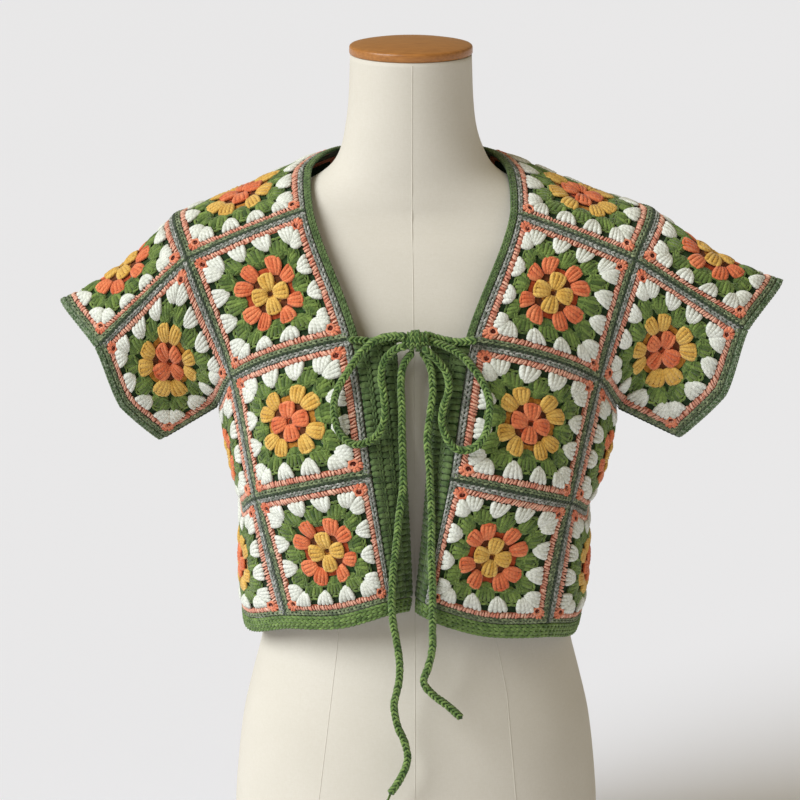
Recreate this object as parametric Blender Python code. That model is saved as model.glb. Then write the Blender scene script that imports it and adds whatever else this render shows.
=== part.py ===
import math

import bpy
import bmesh
from mathutils import Vector

for old in list(bpy.data.objects):
    bpy.data.objects.remove(old, do_unlink=True)

# Driving sizes, in metres
SQUARE_SIDE = 0.113
SEAM_GAP = 0.00042
EDGE_THICKNESS = 0.0032
BAND_THICKNESS = 0.0034
EDGING_THICKNESS = 0.0034
HEM_WIDTH = 0.012
NECK_WIDTH = 0.007
CUFF_WIDTH = 0.0055
CORD_DIAMETER = 0.0075
KNOT_CENTRE = Vector((0.0015, -0.1175, 0.5310))
KNOT_HALF = Vector((0.0075, 0.0085, 0.0098))
CAP_RADIUS = 0.0548
CAP_CENTRE_X = -0.002
CAP_CENTRE_Y = 0.003
CAP_BOTTOM = 0.7655
CAP_RIM_TOP = 0.7738
CAP_DOME_TOP = 0.7780

EDGE_SEGMENTS = 4
FOLD_SEGMENTS = 8
FORM_POINTS = 40
NORMAL_SAMPLES = 8
STEP = 0.002

# Corners where squares meet, on the inner face of the cloth. The columns are the distance out
# from the middle on the wearer's right (the photo's left) and on the other side, the distance
# back, and the height on each side. f is a front, b the back, s the side; 0 is the line nearer
# the middle and 1 the line nearer the side; H, W, C, S are the hem, waist, chest and shoulder;
# r is the shoulder's ridge, u the underarm, c the cuff, and fmH and ck lie halfway on a side.
CORNERS = {
    # name: (out_first, out_second, back, height_first, height_second)
    "feH": (0.0035, 0.0050, -0.104, 0.296, 0.295),
    "f0H": (0.0200, 0.0120, -0.1198, 0.297, 0.294),
    "fmH": (0.0655, 0.0630, -0.109, 0.281, 0.274),
    "f1H": (0.111, 0.1175, -0.088, 0.275, 0.2675),
    "sH": (0.150, 0.148, -0.022, 0.259, 0.2565),
    "b1H": (0.149, 0.148, 0.018, 0.274, 0.272),
    "b0H": (0.063, 0.063, 0.089, 0.328, 0.327),
    "feW": (0.008, 0.014, -0.115, 0.410, 0.408),
    "f0W": (0.0365, 0.0325, -0.130, 0.4135, 0.410),
    "f1W": (0.137, 0.137, -0.088, 0.382, 0.378),
    "sW": (0.150, 0.153, -0.022, 0.360, 0.358),
    "b1W": (0.151, 0.152, 0.020, 0.382, 0.380),
    "b0W": (0.064, 0.064, 0.091, 0.436, 0.435),
    "feC": (0.015, 0.015, -0.107, 0.529, 0.528),
    "f0C": (0.054, 0.051, -0.100, 0.529, 0.5255),
    "f1C": (0.159, 0.163, -0.052, 0.484, 0.482),
    "uC": (0.172, 0.180, -0.006, 0.452, 0.450),
    "b1C": (0.161, 0.165, 0.044, 0.494, 0.494),
    "b0C": (0.063, 0.063, 0.095, 0.552, 0.552),
    "f0S": (0.094, 0.091, -0.047, 0.632, 0.629),
    "f1S": (0.199, 0.196, -0.047, 0.589, 0.588),
    "r0": (0.095, 0.088, 0.000, 0.661, 0.659),
    "r1": (0.212, 0.214, 0.000, 0.618, 0.622),
    "b0S": (0.066, 0.065, 0.062, 0.666, 0.666),
    "b1S": (0.182, 0.184, 0.050, 0.609, 0.615),
    "cf": (0.278, 0.2925, -0.040, 0.511, 0.526),
    "cr": (0.310, 0.325, 0.000, 0.543, 0.560),
    "cb": (0.276, 0.294, 0.040, 0.513, 0.529),
    "cu": (0.2250, 0.237, 0.000, 0.419, 0.421),
    "ck": (0.2582, 0.2755, -0.025, 0.4546, 0.4647),
}
MIDDLE_BACK = {
    # name: (back, height)
    "mS": (0.078, 0.662),
    "mC": (0.104, 0.558),
    "mW": (0.101, 0.444),
    "mH": (0.098, 0.335),
}

# Lines of the layout, run through the corners as curves: 0 is a smooth curve and 1 is straight
# from corner to corner, as a stiff square pulls it.
SIDE_LINES = [
    # (tautness, corners)
    (0.2, ("f0H", "f0W", "f0C", "f0S", "r0", "b0S", "b0C", "b0W", "b0H")),
    (0.2, ("f1H", "f1W", "f1C", "f1S", "r1", "b1S", "b1C", "b1W", "b1H")),
    (0.0, ("feH", "feW", "feC")),
    (0.0, ("f0C", "feC")),
    (0.0, ("uC", "cu")),
    (0.7, ("f0S", "f1S", "cf")),
]
ROUND_LINES = [
    # (tautness, corners)
    (0.1, ("feH", "f0H", "fmH", "f1H", "sH", "b1H", "b0H", "mH")),
    (0.1, ("f0W", "f1W", "sW", "b1W", "b0W", "mW")),
    (0.2, ("f0C", "f1C", "uC", "b1C", "b0C", "mC")),
    (0.5, ("cb", "b1S", "b0S", "mS")),
]
CUFF_LINE = ("cf", "cr", "cb", "cu", "ck")
CUFF_TAUTNESS = 0.55

# The squares of each half: the sides of the patch (the first edge, the last edge, the edge
# nearer the middle or the front, the one further out), whether it folds over the shoulder, the
# colour set of the flower, and how far its middle stands out on each half, in metres.
HALF_SQUARES = {
    # name: (first, last, inner, outer, folds, colour_set, puff_first, puff_second)
    "front_chest": (("f0C", "f1C"), ("f0S", "f1S"), ("f0C", "f0S"), ("f1C", "f1S"),
                    False, "a", 0.0, 0.0),
    "front_bust": (("f0W", "f1W"), ("f0C", "f1C"), ("f0W", "f0C"), ("f1W", "f1C"),
                   False, "b", 0.002, 0.002),
    "front_waist": (("f0H", "fmH", "f1H"), ("f0W", "f1W"), ("f0H", "f0W"), ("f1H", "f1W"),
                    False, "a", 0.0, 0.0),
    "side_bust": (("f1W", "sW", "b1W"), ("f1C", "uC", "b1C"), ("f1W", "f1C"), ("b1W", "b1C"),
                  False, "a", 0.003, 0.007),
    "side_waist": (("f1H", "sH", "b1H"), ("f1W", "sW", "b1W"), ("f1H", "f1W"), ("b1H", "b1W"),
                   False, "b", 0.003, 0.005),
    "back_chest": (("b0S", "b1S"), ("b0C", "b1C"), ("b0S", "b0C"), ("b1S", "b1C"),
                   False, "a", 0.0, 0.0),
    "back_bust": (("b0C", "b1C"), ("b0W", "b1W"), ("b0C", "b0W"), ("b1C", "b1W"),
                  False, "b", 0.0, 0.0),
    "back_waist": (("b0W", "b1W"), ("b0H", "b1H"), ("b0W", "b0H"), ("b1W", "b1H"),
                   False, "a", 0.0, 0.0),
    "shoulder": (("f0S", "f1S"), ("b0S", "b1S"), ("f0S", "r0", "b0S"), ("f1S", "r1", "b1S"),
                 True, "b", -0.004, -0.005),
    "sleeve_top": (("f1S", "cf"), ("b1S", "cb"), ("f1S", "r1", "b1S"), ("cf", "cr", "cb"),
                   True, "a", -0.005, -0.003),
    "sleeve_front": (("f1C", "uC", "cu"), ("f1S", "cf"), ("f1C", "f1S"), ("cu", "ck", "cf"),
                     False, "b", 0.002, 0.002),
    "sleeve_back": (("b1S", "cb"), ("b1C", "uC", "cu"), ("b1S", "b1C"), ("cb", "cu"),
                    False, "b", 0.002, 0.002),
}
# How far the middle of a square is pulled along the cloth on each half: across, back and up.
PULLS = {
    # name: (pull_first, pull_second)
    "sleeve_top": ((0.0, -0.010, -0.004), (0.0, -0.010, -0.004)),
    "sleeve_front": ((-0.007, 0.0, -0.003), (0.002, 0.0, 0.0055)),
    "front_waist": ((0.006, 0.0, 0.0015), (-0.0105, 0.0, 0.001)),
}
NO_PULLS = ((0.0, 0.0, 0.0), (0.0, 0.0, 0.0))
MIDDLE_SQUARES = {
    # name: (upper row, lower row, colour_set)
    "middle_back_chest": ("S", "C", "b"),
    "middle_back_bust": ("C", "W", "a"),
    "middle_back_waist": ("W", "H", "b"),
}

# Relief of a square: rings out from its middle, as a share of its side, with the height of the
# stitches over the inner face on a petal's line and between petals.
RELIEF = [
    # (ring, on_petal, between)
    (0.000, 0.0028, 0.0028),
    (0.073, 0.0042, 0.0038),
    (0.132, 0.0032, 0.0024),
    (0.205, 0.0050, 0.0028),
    (0.285, 0.0032, 0.0028),
    (0.375, 0.0040, 0.0034),
]

# Level sections of the dress form.
FORM_SECTIONS = [
    # (height, middle, half_width, front_depth, back_depth, roundness)
    (0.000, 0.003, 0.1600, 0.1040, 0.1040, 2.20),
    (0.004, 0.003, 0.1630, 0.1070, 0.1070, 2.20),
    (0.060, 0.003, 0.1650, 0.1110, 0.1120, 2.20),
    (0.100, 0.003, 0.1635, 0.1110, 0.1130, 2.20),
    (0.160, 0.003, 0.1570, 0.1060, 0.1070, 2.20),
    (0.200, 0.003, 0.1480, 0.0990, 0.0980, 2.15),
    (0.235, 0.003, 0.1395, 0.0930, 0.0880, 2.10),
    (0.270, 0.002, 0.1360, 0.0890, 0.0800, 2.10),
    (0.310, 0.001, 0.1370, 0.0910, 0.0780, 2.10),
    (0.360, 0.001, 0.1420, 0.0980, 0.0800, 2.15),
    (0.410, 0.000, 0.1460, 0.1050, 0.0830, 2.20),
    (0.450, 0.000, 0.1490, 0.1070, 0.0870, 2.30),
    (0.490, 0.000, 0.1500, 0.1010, 0.0890, 2.30),
    (0.530, 0.000, 0.1530, 0.0880, 0.0890, 2.30),
    (0.570, 0.000, 0.1620, 0.0740, 0.0830, 2.30),
    (0.599, 0.000, 0.1680, 0.0630, 0.0740, 2.20),
    (0.614, 0.000, 0.1640, 0.0560, 0.0680, 2.00),
    (0.629, -0.001, 0.1460, 0.0510, 0.0640, 1.80),
    (0.6412, -0.001, 0.1170, 0.0500, 0.0610, 1.75),
    (0.6532, -0.001, 0.0900, 0.0490, 0.0590, 1.85),
    (0.665, -0.001, 0.0730, 0.0490, 0.0580, 1.95),
    (0.680, -0.001, 0.0640, 0.0495, 0.0575, 2.00),
    (0.700, -0.002, 0.0585, 0.0500, 0.0570, 2.00),
    (0.725, -0.002, 0.0555, 0.0505, 0.0565, 2.00),
    (0.7652, -0.002, 0.0540, 0.0510, 0.0565, 2.00),
]
FORM_HEIGHTS = (0.0, 0.004, 0.030, 0.060, 0.095, 0.130, 0.160, 0.190, 0.215, 0.240, 0.270, 0.305,
                0.340, 0.375, 0.410, 0.440, 0.470, 0.500, 0.530, 0.558, 0.580, 0.597, 0.608, 0.618,
                0.628, 0.637, 0.645, 0.654, 0.665, 0.678, 0.692, 0.710, 0.735, 0.7652)

# Routes of the tie cord, in millimetres: across, forward (negative) and up.
CORD_ROUTES = {
    "cord_loop_first": [
        (-7.2, -121, 536), (-15, -119, 535.5), (-31, -116, 532), (-45, -117, 521), (-58, -121, 503),
        (-68, -125, 485), (-69, -130, 465), (-63, -134, 450), (-51, -136, 442), (-40, -135, 444),
        (-29, -132, 453), (-25, -129, 467), (-26, -126, 485), (-28, -122, 504), (-24, -120, 516),
        (-15, -121, 524.5), (-7.2, -122, 527),
    ],
    "cord_loop_second": [
        (10.2, -114.5, 530.5), (24, -115, 527), (36, -116, 522), (48, -118, 512), (58, -121, 499),
        (66, -126, 482), (66, -131, 463), (61, -135, 447), (50, -137, 438), (38, -137, 438),
        (29, -134, 448), (25, -131, 461), (26, -128, 473), (31, -124, 489), (29, -121, 503),
        (21, -121.5, 514), (15, -123, 520.5), (9.6, -124, 525.5),
    ],
    "cord_end_first": [
        (-1, -118, 520.3), (-8, -119, 511), (-11, -122, 493), (-10, -125, 476), (-10, -128, 450),
        (-9, -130, 424), (-9, -130, 402), (-12, -130, 381), (-14, -130, 359), (-16, -130, 342),
        (-18, -130, 322), (-19, -130, 301), (-18, -130, 280), (-14, -130, 257), (-12, -130, 240),
        (-13, -130, 222), (-17, -130, 204), (-14, -130, 184), (-7, -130, 167), (-5, -130, 152),
        (-11, -130, 136), (-20, -130, 122),
    ],
    "cord_end_second": [
        (7.5, -114.5, 520.6), (13.5, -116.5, 511), (17, -121, 493), (15, -126, 469), (12, -129, 444),
        (14, -130, 422), (15, -131, 402), (16, -133, 380), (16, -134, 359), (16, -135, 337),
        (17, -135, 316), (17, -134, 294), (17, -132, 273), (17, -130, 255), (13, -130, 237),
        (9, -130, 224), (17, -130, 213), (30, -130, 203), (42, -130, 192),
    ],
    "cord_run_first": [
        (-56, -109.5, 530.5), (-46, -109, 529.5), (-35, -108, 528.3), (-24, -107, 528.8),
        (-14, -107, 530.5), (-6.9, -109.5, 531.5),
    ],
    "cord_run_second": [
        (55, -109.5, 530), (45, -108.5, 528.3), (35, -107, 527.8), (25, -106, 529.5),
        (16, -106, 532.5), (9.4, -108, 534.5),
    ],
}
CORD_STEP = 0.017


# Materials
def make_material(name, rgb, roughness):
    material = bpy.data.materials.new(name)
    material.use_nodes = True
    shader = material.node_tree.nodes["Principled BSDF"]
    shader.inputs["Base Color"].default_value = (rgb[0], rgb[1], rgb[2], 1.0)
    shader.inputs["Roughness"].default_value = roughness
    shader.inputs["Metallic"].default_value = 0.0
    material.diffuse_color = (rgb[0], rgb[1], rgb[2], 1.0)
    return material


WOOL_YELLOW = make_material("wool_yellow_heart", (0.72, 0.45, 0.23), 0.95)
WOOL_ORANGE = make_material("wool_orange_heart", (0.76, 0.32, 0.14), 0.95)
WOOL_GREEN = make_material("wool_green", (0.06, 0.19, 0.04), 0.95)
FORM_CLOTH = make_material("form_cloth", (0.66, 0.61, 0.50), 0.90)
FORM_WOOD = make_material("form_wood", (0.48, 0.25, 0.10), 0.45)
SET_MATERIALS = {"a": WOOL_YELLOW, "b": WOOL_ORANGE}


def finish_object(name, mesh, material):
    """Give the mesh one object, one material, smooth shading and faces that look out."""
    work = bmesh.new()
    work.from_mesh(mesh)
    bmesh.ops.recalc_face_normals(work, faces=work.faces)
    work.to_mesh(mesh)
    work.free()
    for face in mesh.polygons:
        face.use_smooth = True
    mesh.materials.append(material)
    piece = bpy.data.objects.new(name, mesh)
    bpy.context.scene.collection.objects.link(piece)
    return piece


def mesh_object(name, points, faces, material):
    mesh = bpy.data.meshes.new(name)
    mesh.from_pydata([tuple(point) for point in points], [], faces)
    mesh.update()
    return finish_object(name, mesh, material)


# Layout curves
def build_places():
    """Corner places by name: A is the photo's left half, B its right half."""
    places = {}
    for name, (out_first, out_second, back, height_first, height_second) in CORNERS.items():
        places["A" + name] = Vector((-out_first, back, height_first))
        places["B" + name] = Vector((out_second, back, height_second))
    for name, (back, height) in MIDDLE_BACK.items():
        places["M" + name] = Vector((0.0, back, height))
    return places


PLACES = build_places()
EDGES = {}


def hermite(start, start_slope, end, end_slope, share):
    square = share * share
    cube = square * share
    return (start * (2 * cube - 3 * square + 1) + start_slope * (cube - 2 * square + share)
            + end * (3 * square - 2 * cube) + end_slope * (cube - square))


def line_slopes(points, closed):
    """Directions along a line at its points, per metre of its length."""
    count = len(points)
    slopes = []
    for index in range(count):
        before = points[index - 1] if index > 0 or closed else None
        after = points[(index + 1) % count] if index < count - 1 or closed else None
        here = points[index]
        if before is None or after is None:
            slopes.append(None)
            continue
        length_before = (here - before).length
        length_after = (after - here).length
        slope_before = (here - before) / length_before
        slope_after = (after - here) / length_after
        total = length_before + length_after
        slopes.append((slope_before * length_after + slope_after * length_before) / total)
    if slopes[0] is None:
        chord = (points[1] - points[0]).normalized()
        slopes[0] = chord * 2 - slopes[1] if slopes[1] is not None else chord
    if slopes[-1] is None:
        chord = (points[-1] - points[-2]).normalized()
        slopes[-1] = chord * 2 - slopes[-2] if slopes[-2] is not None and count > 2 else chord
    return slopes


def add_line(names, tautness, closed=False):
    points = [PLACES[name] for name in names]
    slopes = line_slopes(points, closed)
    count = len(names)
    for index in range(count if closed else count - 1):
        after = (index + 1) % count
        chord = points[after] - points[index]
        start_slope = (slopes[index] * chord.length).lerp(chord, tautness)
        end_slope = (slopes[after] * chord.length).lerp(chord, tautness)
        EDGES[(names[index], names[after])] = (points[index], start_slope, points[after], end_slope)


def build_lines():
    for half in "AB":
        for tautness, line in SIDE_LINES:
            add_line([half + name for name in line], tautness)
        add_line([half + name for name in CUFF_LINE], CUFF_TAUTNESS, closed=True)
    for tautness, line in ROUND_LINES:
        first = ["A" + name for name in line[:-1]]
        second = ["B" + name for name in reversed(line[:-1])]
        add_line(first + ["M" + line[-1]] + second, tautness)


build_lines()


def edge_point(start_name, end_name, share):
    if (start_name, end_name) in EDGES:
        return hermite(*EDGES[(start_name, end_name)], share)
    return hermite(*EDGES[(end_name, start_name)], 1.0 - share)


def split_share(names, share):
    """The piece of a side, of one or two edges, that the share falls on."""
    count = len(names) - 1
    index = min(int(share * count), count - 1)
    return names[index], names[index + 1], share * count - index


def side_point(names, share):
    return edge_point(*split_share(names, share))


# Patches
EDGE_NORMALS = {}
PLACE_NORMALS = {}


class Patch:
    """A four-sided piece of cloth between four sides of the layout, placed by across and along."""

    def __init__(self, name, first, last, inner, outer, sign, puff=0.0, pull=(0.0, 0.0, 0.0)):
        self.name = name
        self.first = first
        self.last = last
        self.inner = inner
        self.outer = outer
        self.sign = sign
        self.corners = (PLACES[first[0]], PLACES[first[-1]], PLACES[last[0]], PLACES[last[-1]])
        diagonals = (self.corners[3] - self.corners[0]).cross(self.corners[2] - self.corners[1])
        self.swell = diagonals.normalized() * (puff * sign) + Vector(pull)

    def blend(self, across, along, first, last, inner, outer, corners):
        ruled_along = first * (1 - along) + last * along
        ruled_across = inner * (1 - across) + outer * across
        flat = (corners[0] * ((1 - across) * (1 - along)) + corners[1] * (across * (1 - along))
                + corners[2] * ((1 - across) * along) + corners[3] * (across * along))
        return ruled_along + ruled_across - flat

    def point(self, across, along):
        flat = self.blend(across, along, side_point(self.first, across),
                          side_point(self.last, across), side_point(self.inner, along),
                          side_point(self.outer, along), self.corners)
        return flat + self.swell * (16 * across * (1 - across) * along * (1 - along))

    def raw_normal(self, across, along):
        low_across = max(0.0, across - STEP)
        high_across = min(1.0, across + STEP)
        low_along = max(0.0, along - STEP)
        high_along = min(1.0, along + STEP)
        slope_across = self.point(high_across, along) - self.point(low_across, along)
        slope_along = self.point(across, high_along) - self.point(across, low_along)
        return slope_across.cross(slope_along).normalized() * self.sign

    def sides(self):
        return ((self.first, 0), (self.last, 1), (self.inner, 2), (self.outer, 3))

    def side_place(self, side, share):
        return ((share, 0.0), (share, 1.0), (0.0, share), (1.0, share))[side]

    def normal(self, across, along):
        """Outward direction, shared with the neighbour along each side."""
        corner_normals = (PLACE_NORMALS[self.first[0]], PLACE_NORMALS[self.first[-1]],
                          PLACE_NORMALS[self.last[0]], PLACE_NORMALS[self.last[-1]])
        blended = self.blend(across, along, side_normal(self.first, across),
                             side_normal(self.last, across), side_normal(self.inner, along),
                             side_normal(self.outer, along), corner_normals)
        return blended.normalized()

    def place(self, across, along, height):
        return self.point(across, along) + self.normal(across, along) * height


def side_normal(names, share):
    start_name, end_name, local = split_share(names, share)
    if (start_name, end_name) in EDGE_NORMALS:
        row = EDGE_NORMALS[(start_name, end_name)]
    else:
        row = EDGE_NORMALS[(end_name, start_name)]
        local = 1.0 - local
    spot = local * NORMAL_SAMPLES
    index = min(int(spot), NORMAL_SAMPLES - 1)
    part = spot - index
    return (row[index] * (1 - part) + row[index + 1] * part).normalized()


def build_patches():
    patches = {}
    for half, sign, word in (("A", -1.0, "first"), ("B", 1.0, "second")):
        for name, row in HALF_SQUARES.items():
            sides = [tuple(half + corner for corner in side) for side in row[:4]]
            puff = row[6] if half == "A" else row[7]
            pulls = PULLS.get(name, NO_PULLS)
            pull = pulls[0] if half == "A" else pulls[1]
            patches[name + "_" + word] = Patch(name + "_" + word, *sides, sign, puff, pull)
        band = Patch("band_" + word, (half + "f0H", half + "feH"), (half + "f0C", half + "feC"),
                     (half + "f0H", half + "f0W", half + "f0C"),
                     (half + "feH", half + "feW", half + "feC"), -sign)
        patches["band_" + word] = band
    for name, (upper, lower, _set) in MIDDLE_SQUARES.items():
        patches[name] = Patch(name, ("Ab0" + upper, "Mm" + upper, "Bb0" + upper),
                              ("Ab0" + lower, "Mm" + lower, "Bb0" + lower),
                              ("Ab0" + upper, "Ab0" + lower), ("Bb0" + upper, "Bb0" + lower), 1.0)
    return patches


def share_normals(patches):
    """Average the outward directions of the patches that meet at each edge and corner."""
    sums = {}
    for patch in patches.values():
        for names, side in patch.sides():
            count = len(names) - 1
            for index in range(count):
                key = (names[index], names[index + 1])
                turned = key not in EDGES
                row = []
                for sample in range(NORMAL_SAMPLES + 1):
                    share = (index + sample / NORMAL_SAMPLES) / count
                    row.append(patch.raw_normal(*patch.side_place(side, share)))
                if turned:
                    key = (names[index + 1], names[index])
                    row.reverse()
                total = sums.setdefault(key, [Vector() for _ in range(NORMAL_SAMPLES + 1)])
                for sample in range(NORMAL_SAMPLES + 1):
                    total[sample] += row[sample]
    for (start_name, end_name), total in sums.items():
        for name, value in ((start_name, total[0]), (end_name, total[-1])):
            PLACE_NORMALS.setdefault(name, Vector())
            PLACE_NORMALS[name] += value
    for name in PLACE_NORMALS:
        PLACE_NORMALS[name].normalize()
    for key, total in sums.items():
        row = [value.normalized() for value in total]
        row[0] = PLACE_NORMALS[key[0]]
        row[-1] = PLACE_NORMALS[key[1]]
        EDGE_NORMALS[key] = row


PATCHES = build_patches()
share_normals(PATCHES)


# Squares
def petal_height(ring_index, angle):
    """Height of the relief on a ring: eight petals, in pairs at the corners."""
    _ring, on_petal, between = RELIEF[ring_index]
    wave = 0.5 - 0.5 * math.cos(8 * angle)
    return between + (on_petal - between) * wave


def perimeter_shares(across_steps, along_steps, inset):
    """Places round the rim of a square, in order, drawn in from its edges by the seam gap."""
    low = inset
    span = 1.0 - 2 * inset
    rim = []
    for step in range(across_steps):
        rim.append((low + span * step / across_steps, low))
    for step in range(along_steps):
        rim.append((1.0 - low, low + span * step / along_steps))
    for step in range(across_steps):
        rim.append((1.0 - low - span * step / across_steps, 1.0 - low))
    for step in range(along_steps):
        rim.append((low, 1.0 - low - span * step / along_steps))
    return rim


def build_square(patch, along_steps, material):
    """A square: a plain grid inside, and a flower in relief over rings outside."""
    inset = SEAM_GAP / SQUARE_SIDE
    across_steps = EDGE_SEGMENTS
    rim = perimeter_shares(across_steps, along_steps, inset)
    count = len(rim)
    points = [patch.place(0.5, 0.5, RELIEF[0][1])]
    faces = []
    for ring_index in range(1, len(RELIEF)):
        ring = RELIEF[ring_index][0]
        for across, along in rim:
            angle = math.atan2(along - 0.5, across - 0.5)
            reach = max(abs(across - 0.5), abs(along - 0.5))
            squareness = max(0.0, (ring - 0.30) / 0.20)
            scale = ring / math.hypot(across - 0.5, along - 0.5)
            scale = scale * (1 - squareness) + (ring / reach) * squareness
            points.append(patch.place(0.5 + (across - 0.5) * scale, 0.5 + (along - 0.5) * scale,
                                      petal_height(ring_index, angle)))
    for across, along in rim:
        points.append(patch.place(across, along, EDGE_THICKNESS))
    for index in range(count):
        faces.append((0, 1 + index, 1 + (index + 1) % count))
    for ring_index in range(len(RELIEF) - 1):
        start = 1 + ring_index * count
        for index in range(count):
            after = (index + 1) % count
            faces.append((start + index, start + count + index, start + count + after, start + after))
    outer_rim = 1 + (len(RELIEF) - 1) * count
    grid = {}
    span = 1.0 - 2 * inset
    for row in range(along_steps + 1):
        for column in range(across_steps + 1):
            grid[(column, row)] = len(points)
            points.append(patch.place(inset + span * column / across_steps,
                                      inset + span * row / along_steps, 0.0))
    for row in range(along_steps):
        for column in range(across_steps):
            faces.append((grid[(column, row)], grid[(column, row + 1)],
                          grid[(column + 1, row + 1)], grid[(column + 1, row)]))
    inner_rim = ([grid[(step, 0)] for step in range(across_steps)]
                 + [grid[(across_steps, step)] for step in range(along_steps)]
                 + [grid[(across_steps - step, along_steps)] for step in range(across_steps)]
                 + [grid[(0, along_steps - step)] for step in range(along_steps)])
    for index in range(count):
        after = (index + 1) % count
        faces.append((outer_rim + index, inner_rim[index], inner_rim[after], outer_rim + after))
    return mesh_object(patch.name, points, faces, material)


for half_word in ("first", "second"):
    for square_name, square_row in HALF_SQUARES.items():
        steps = FOLD_SEGMENTS if square_row[4] else EDGE_SEGMENTS
        build_square(PATCHES[square_name + "_" + half_word], steps, SET_MATERIALS[square_row[5]])
for square_name, square_row in MIDDLE_SQUARES.items():
    build_square(PATCHES[square_name], EDGE_SEGMENTS, SET_MATERIALS[square_row[2]])


# Front bands
BAND_ACROSS = 3
BAND_ALONG = 8
BAND_TOP_SHARE = 0.975


def build_band(patch):
    inset = SEAM_GAP / 0.04
    low = SEAM_GAP / (2 * SQUARE_SIDE)
    grids = []
    points = []
    for height in (0.0, BAND_THICKNESS):
        grid = {}
        for row in range(BAND_ALONG + 1):
            along = low + (BAND_TOP_SHARE - low) * row / BAND_ALONG
            if row == BAND_ALONG // 2:
                along = 0.5
            for column in range(BAND_ACROSS + 1):
                across = inset + (1.0 - inset) * column / BAND_ACROSS
                grid[(column, row)] = len(points)
                points.append(patch.place(across, along, height))
        grids.append(grid)
    faces = []
    for row in range(BAND_ALONG):
        for column in range(BAND_ACROSS):
            for grid in grids:
                faces.append((grid[(column, row)], grid[(column + 1, row)],
                              grid[(column + 1, row + 1)], grid[(column, row + 1)]))
    rim = ([(column, 0) for column in range(BAND_ACROSS)]
           + [(BAND_ACROSS, row) for row in range(BAND_ALONG)]
           + [(BAND_ACROSS - column, BAND_ALONG) for column in range(BAND_ACROSS)]
           + [(0, BAND_ALONG - row) for row in range(BAND_ALONG)])
    for index, key in enumerate(rim):
        after = rim[(index + 1) % len(rim)]
        faces.append((grids[0][key], grids[1][key], grids[1][after], grids[0][after]))
    return mesh_object(patch.name, points, faces, WOOL_GREEN)


build_band(PATCHES["band_first"])
build_band(PATCHES["band_second"])


# Edgings
def edging_profile(width, thickness):
    """Section of an edging: (away from the squares, out from the inner face)."""
    return [(SEAM_GAP, 0.0), (width, 0.0003), (width + 0.0008, thickness / 2),
            (width, thickness), (width / 2, thickness + 0.0006), (SEAM_GAP, thickness)]


def line_stations(names, steps_each, closed):
    """Places, directions and outward normals along a chain of edges."""
    stations = []
    count = len(names) if closed else len(names) - 1
    for index in range(count):
        start_name = names[index]
        end_name = names[(index + 1) % len(names)]
        steps = steps_each[index]
        last = steps if closed or index < count - 1 else steps + 1
        for step in range(last):
            share = step / steps
            before = edge_point(start_name, end_name, max(0.0, share - STEP))
            after = edge_point(start_name, end_name, min(1.0, share + STEP))
            stations.append([edge_point(start_name, end_name, share), (after - before).normalized(),
                             side_normal((start_name, end_name), share)])
    return stations


def build_edging(name, names, steps_each, width, turn, closed):
    """A narrow strip along a line, its section set square to the line and the cloth."""
    stations = line_stations(names, steps_each, closed)
    profile = edging_profile(width, EDGING_THICKNESS)
    count = len(profile)
    points = []
    faces = []
    for place, direction, normal in stations:
        away = direction.cross(normal).normalized() * turn
        for out, height in profile:
            points.append(place + away * out + normal * height)
    total = len(stations)
    for index in range(total if closed else total - 1):
        start = index * count
        after = ((index + 1) % total) * count
        for corner in range(count):
            beside = (corner + 1) % count
            faces.append((start + corner, start + beside, after + beside, after + corner))
    if not closed:
        faces.append(tuple(range(count)))
        faces.append(tuple(range((total - 1) * count, total * count)))
    return mesh_object(name, points, faces, WOOL_GREEN)


HEM_LINE = ROUND_LINES[0][1][:-1]
HEM_NAMES = (["A" + name for name in HEM_LINE] + ["MmH"]
             + ["B" + name for name in reversed(HEM_LINE)])
HEM_STEPS = [2, 2, 2, 2, 2, 4, 2, 2, 4, 2, 2, 2, 2, 2]
build_edging("hem_border", HEM_NAMES, HEM_STEPS, HEM_WIDTH, -1.0, False)

NECK_NAMES = ["Af0C", "Af0S", "Ar0", "Ab0S", "MmS", "Bb0S", "Br0", "Bf0S", "Bf0C"]
NECK_STEPS = [4, 4, 4, 2, 2, 4, 4, 4]
build_edging("neck_edging", NECK_NAMES, NECK_STEPS, NECK_WIDTH, 1.0, False)

CUFF_STEPS = [4, 4, 4, 2, 2]
build_edging("cuff_border_first", ["A" + name for name in CUFF_LINE], CUFF_STEPS, CUFF_WIDTH, -1.0, True)
build_edging("cuff_border_second", ["B" + name for name in CUFF_LINE], CUFF_STEPS, CUFF_WIDTH, 1.0, True)


# Dress form
def section_at(height):
    """Sizes of the form at a height, read smoothly from the table."""
    rows = FORM_SECTIONS
    index = 0
    while index < len(rows) - 2 and rows[index + 1][0] < height:
        index += 1
    lower = rows[index]
    upper = rows[index + 1]
    before = rows[max(0, index - 1)]
    after = rows[min(len(rows) - 1, index + 2)]
    span = upper[0] - lower[0]
    share = (height - lower[0]) / span
    values = []
    for column in range(1, 6):
        slope_lower = (upper[column] - before[column]) / max(upper[0] - before[0], 1e-6) * span
        slope_upper = (after[column] - lower[column]) / max(after[0] - lower[0], 1e-6) * span
        values.append(hermite(lower[column], slope_lower, upper[column], slope_upper, share))
    return values


def ring_points(height, middle, half_width, front, back, roundness):
    ring = []
    for index in range(FORM_POINTS):
        angle = 2 * math.pi * index / FORM_POINTS
        across = math.cos(angle)
        along = math.sin(angle)
        depth = back if along > 0 else front
        ring.append(Vector((
            middle + half_width * math.copysign(abs(across) ** (2 / roundness), across),
            depth * math.copysign(abs(along) ** (2 / roundness), along),
            height)))
    return ring


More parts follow.
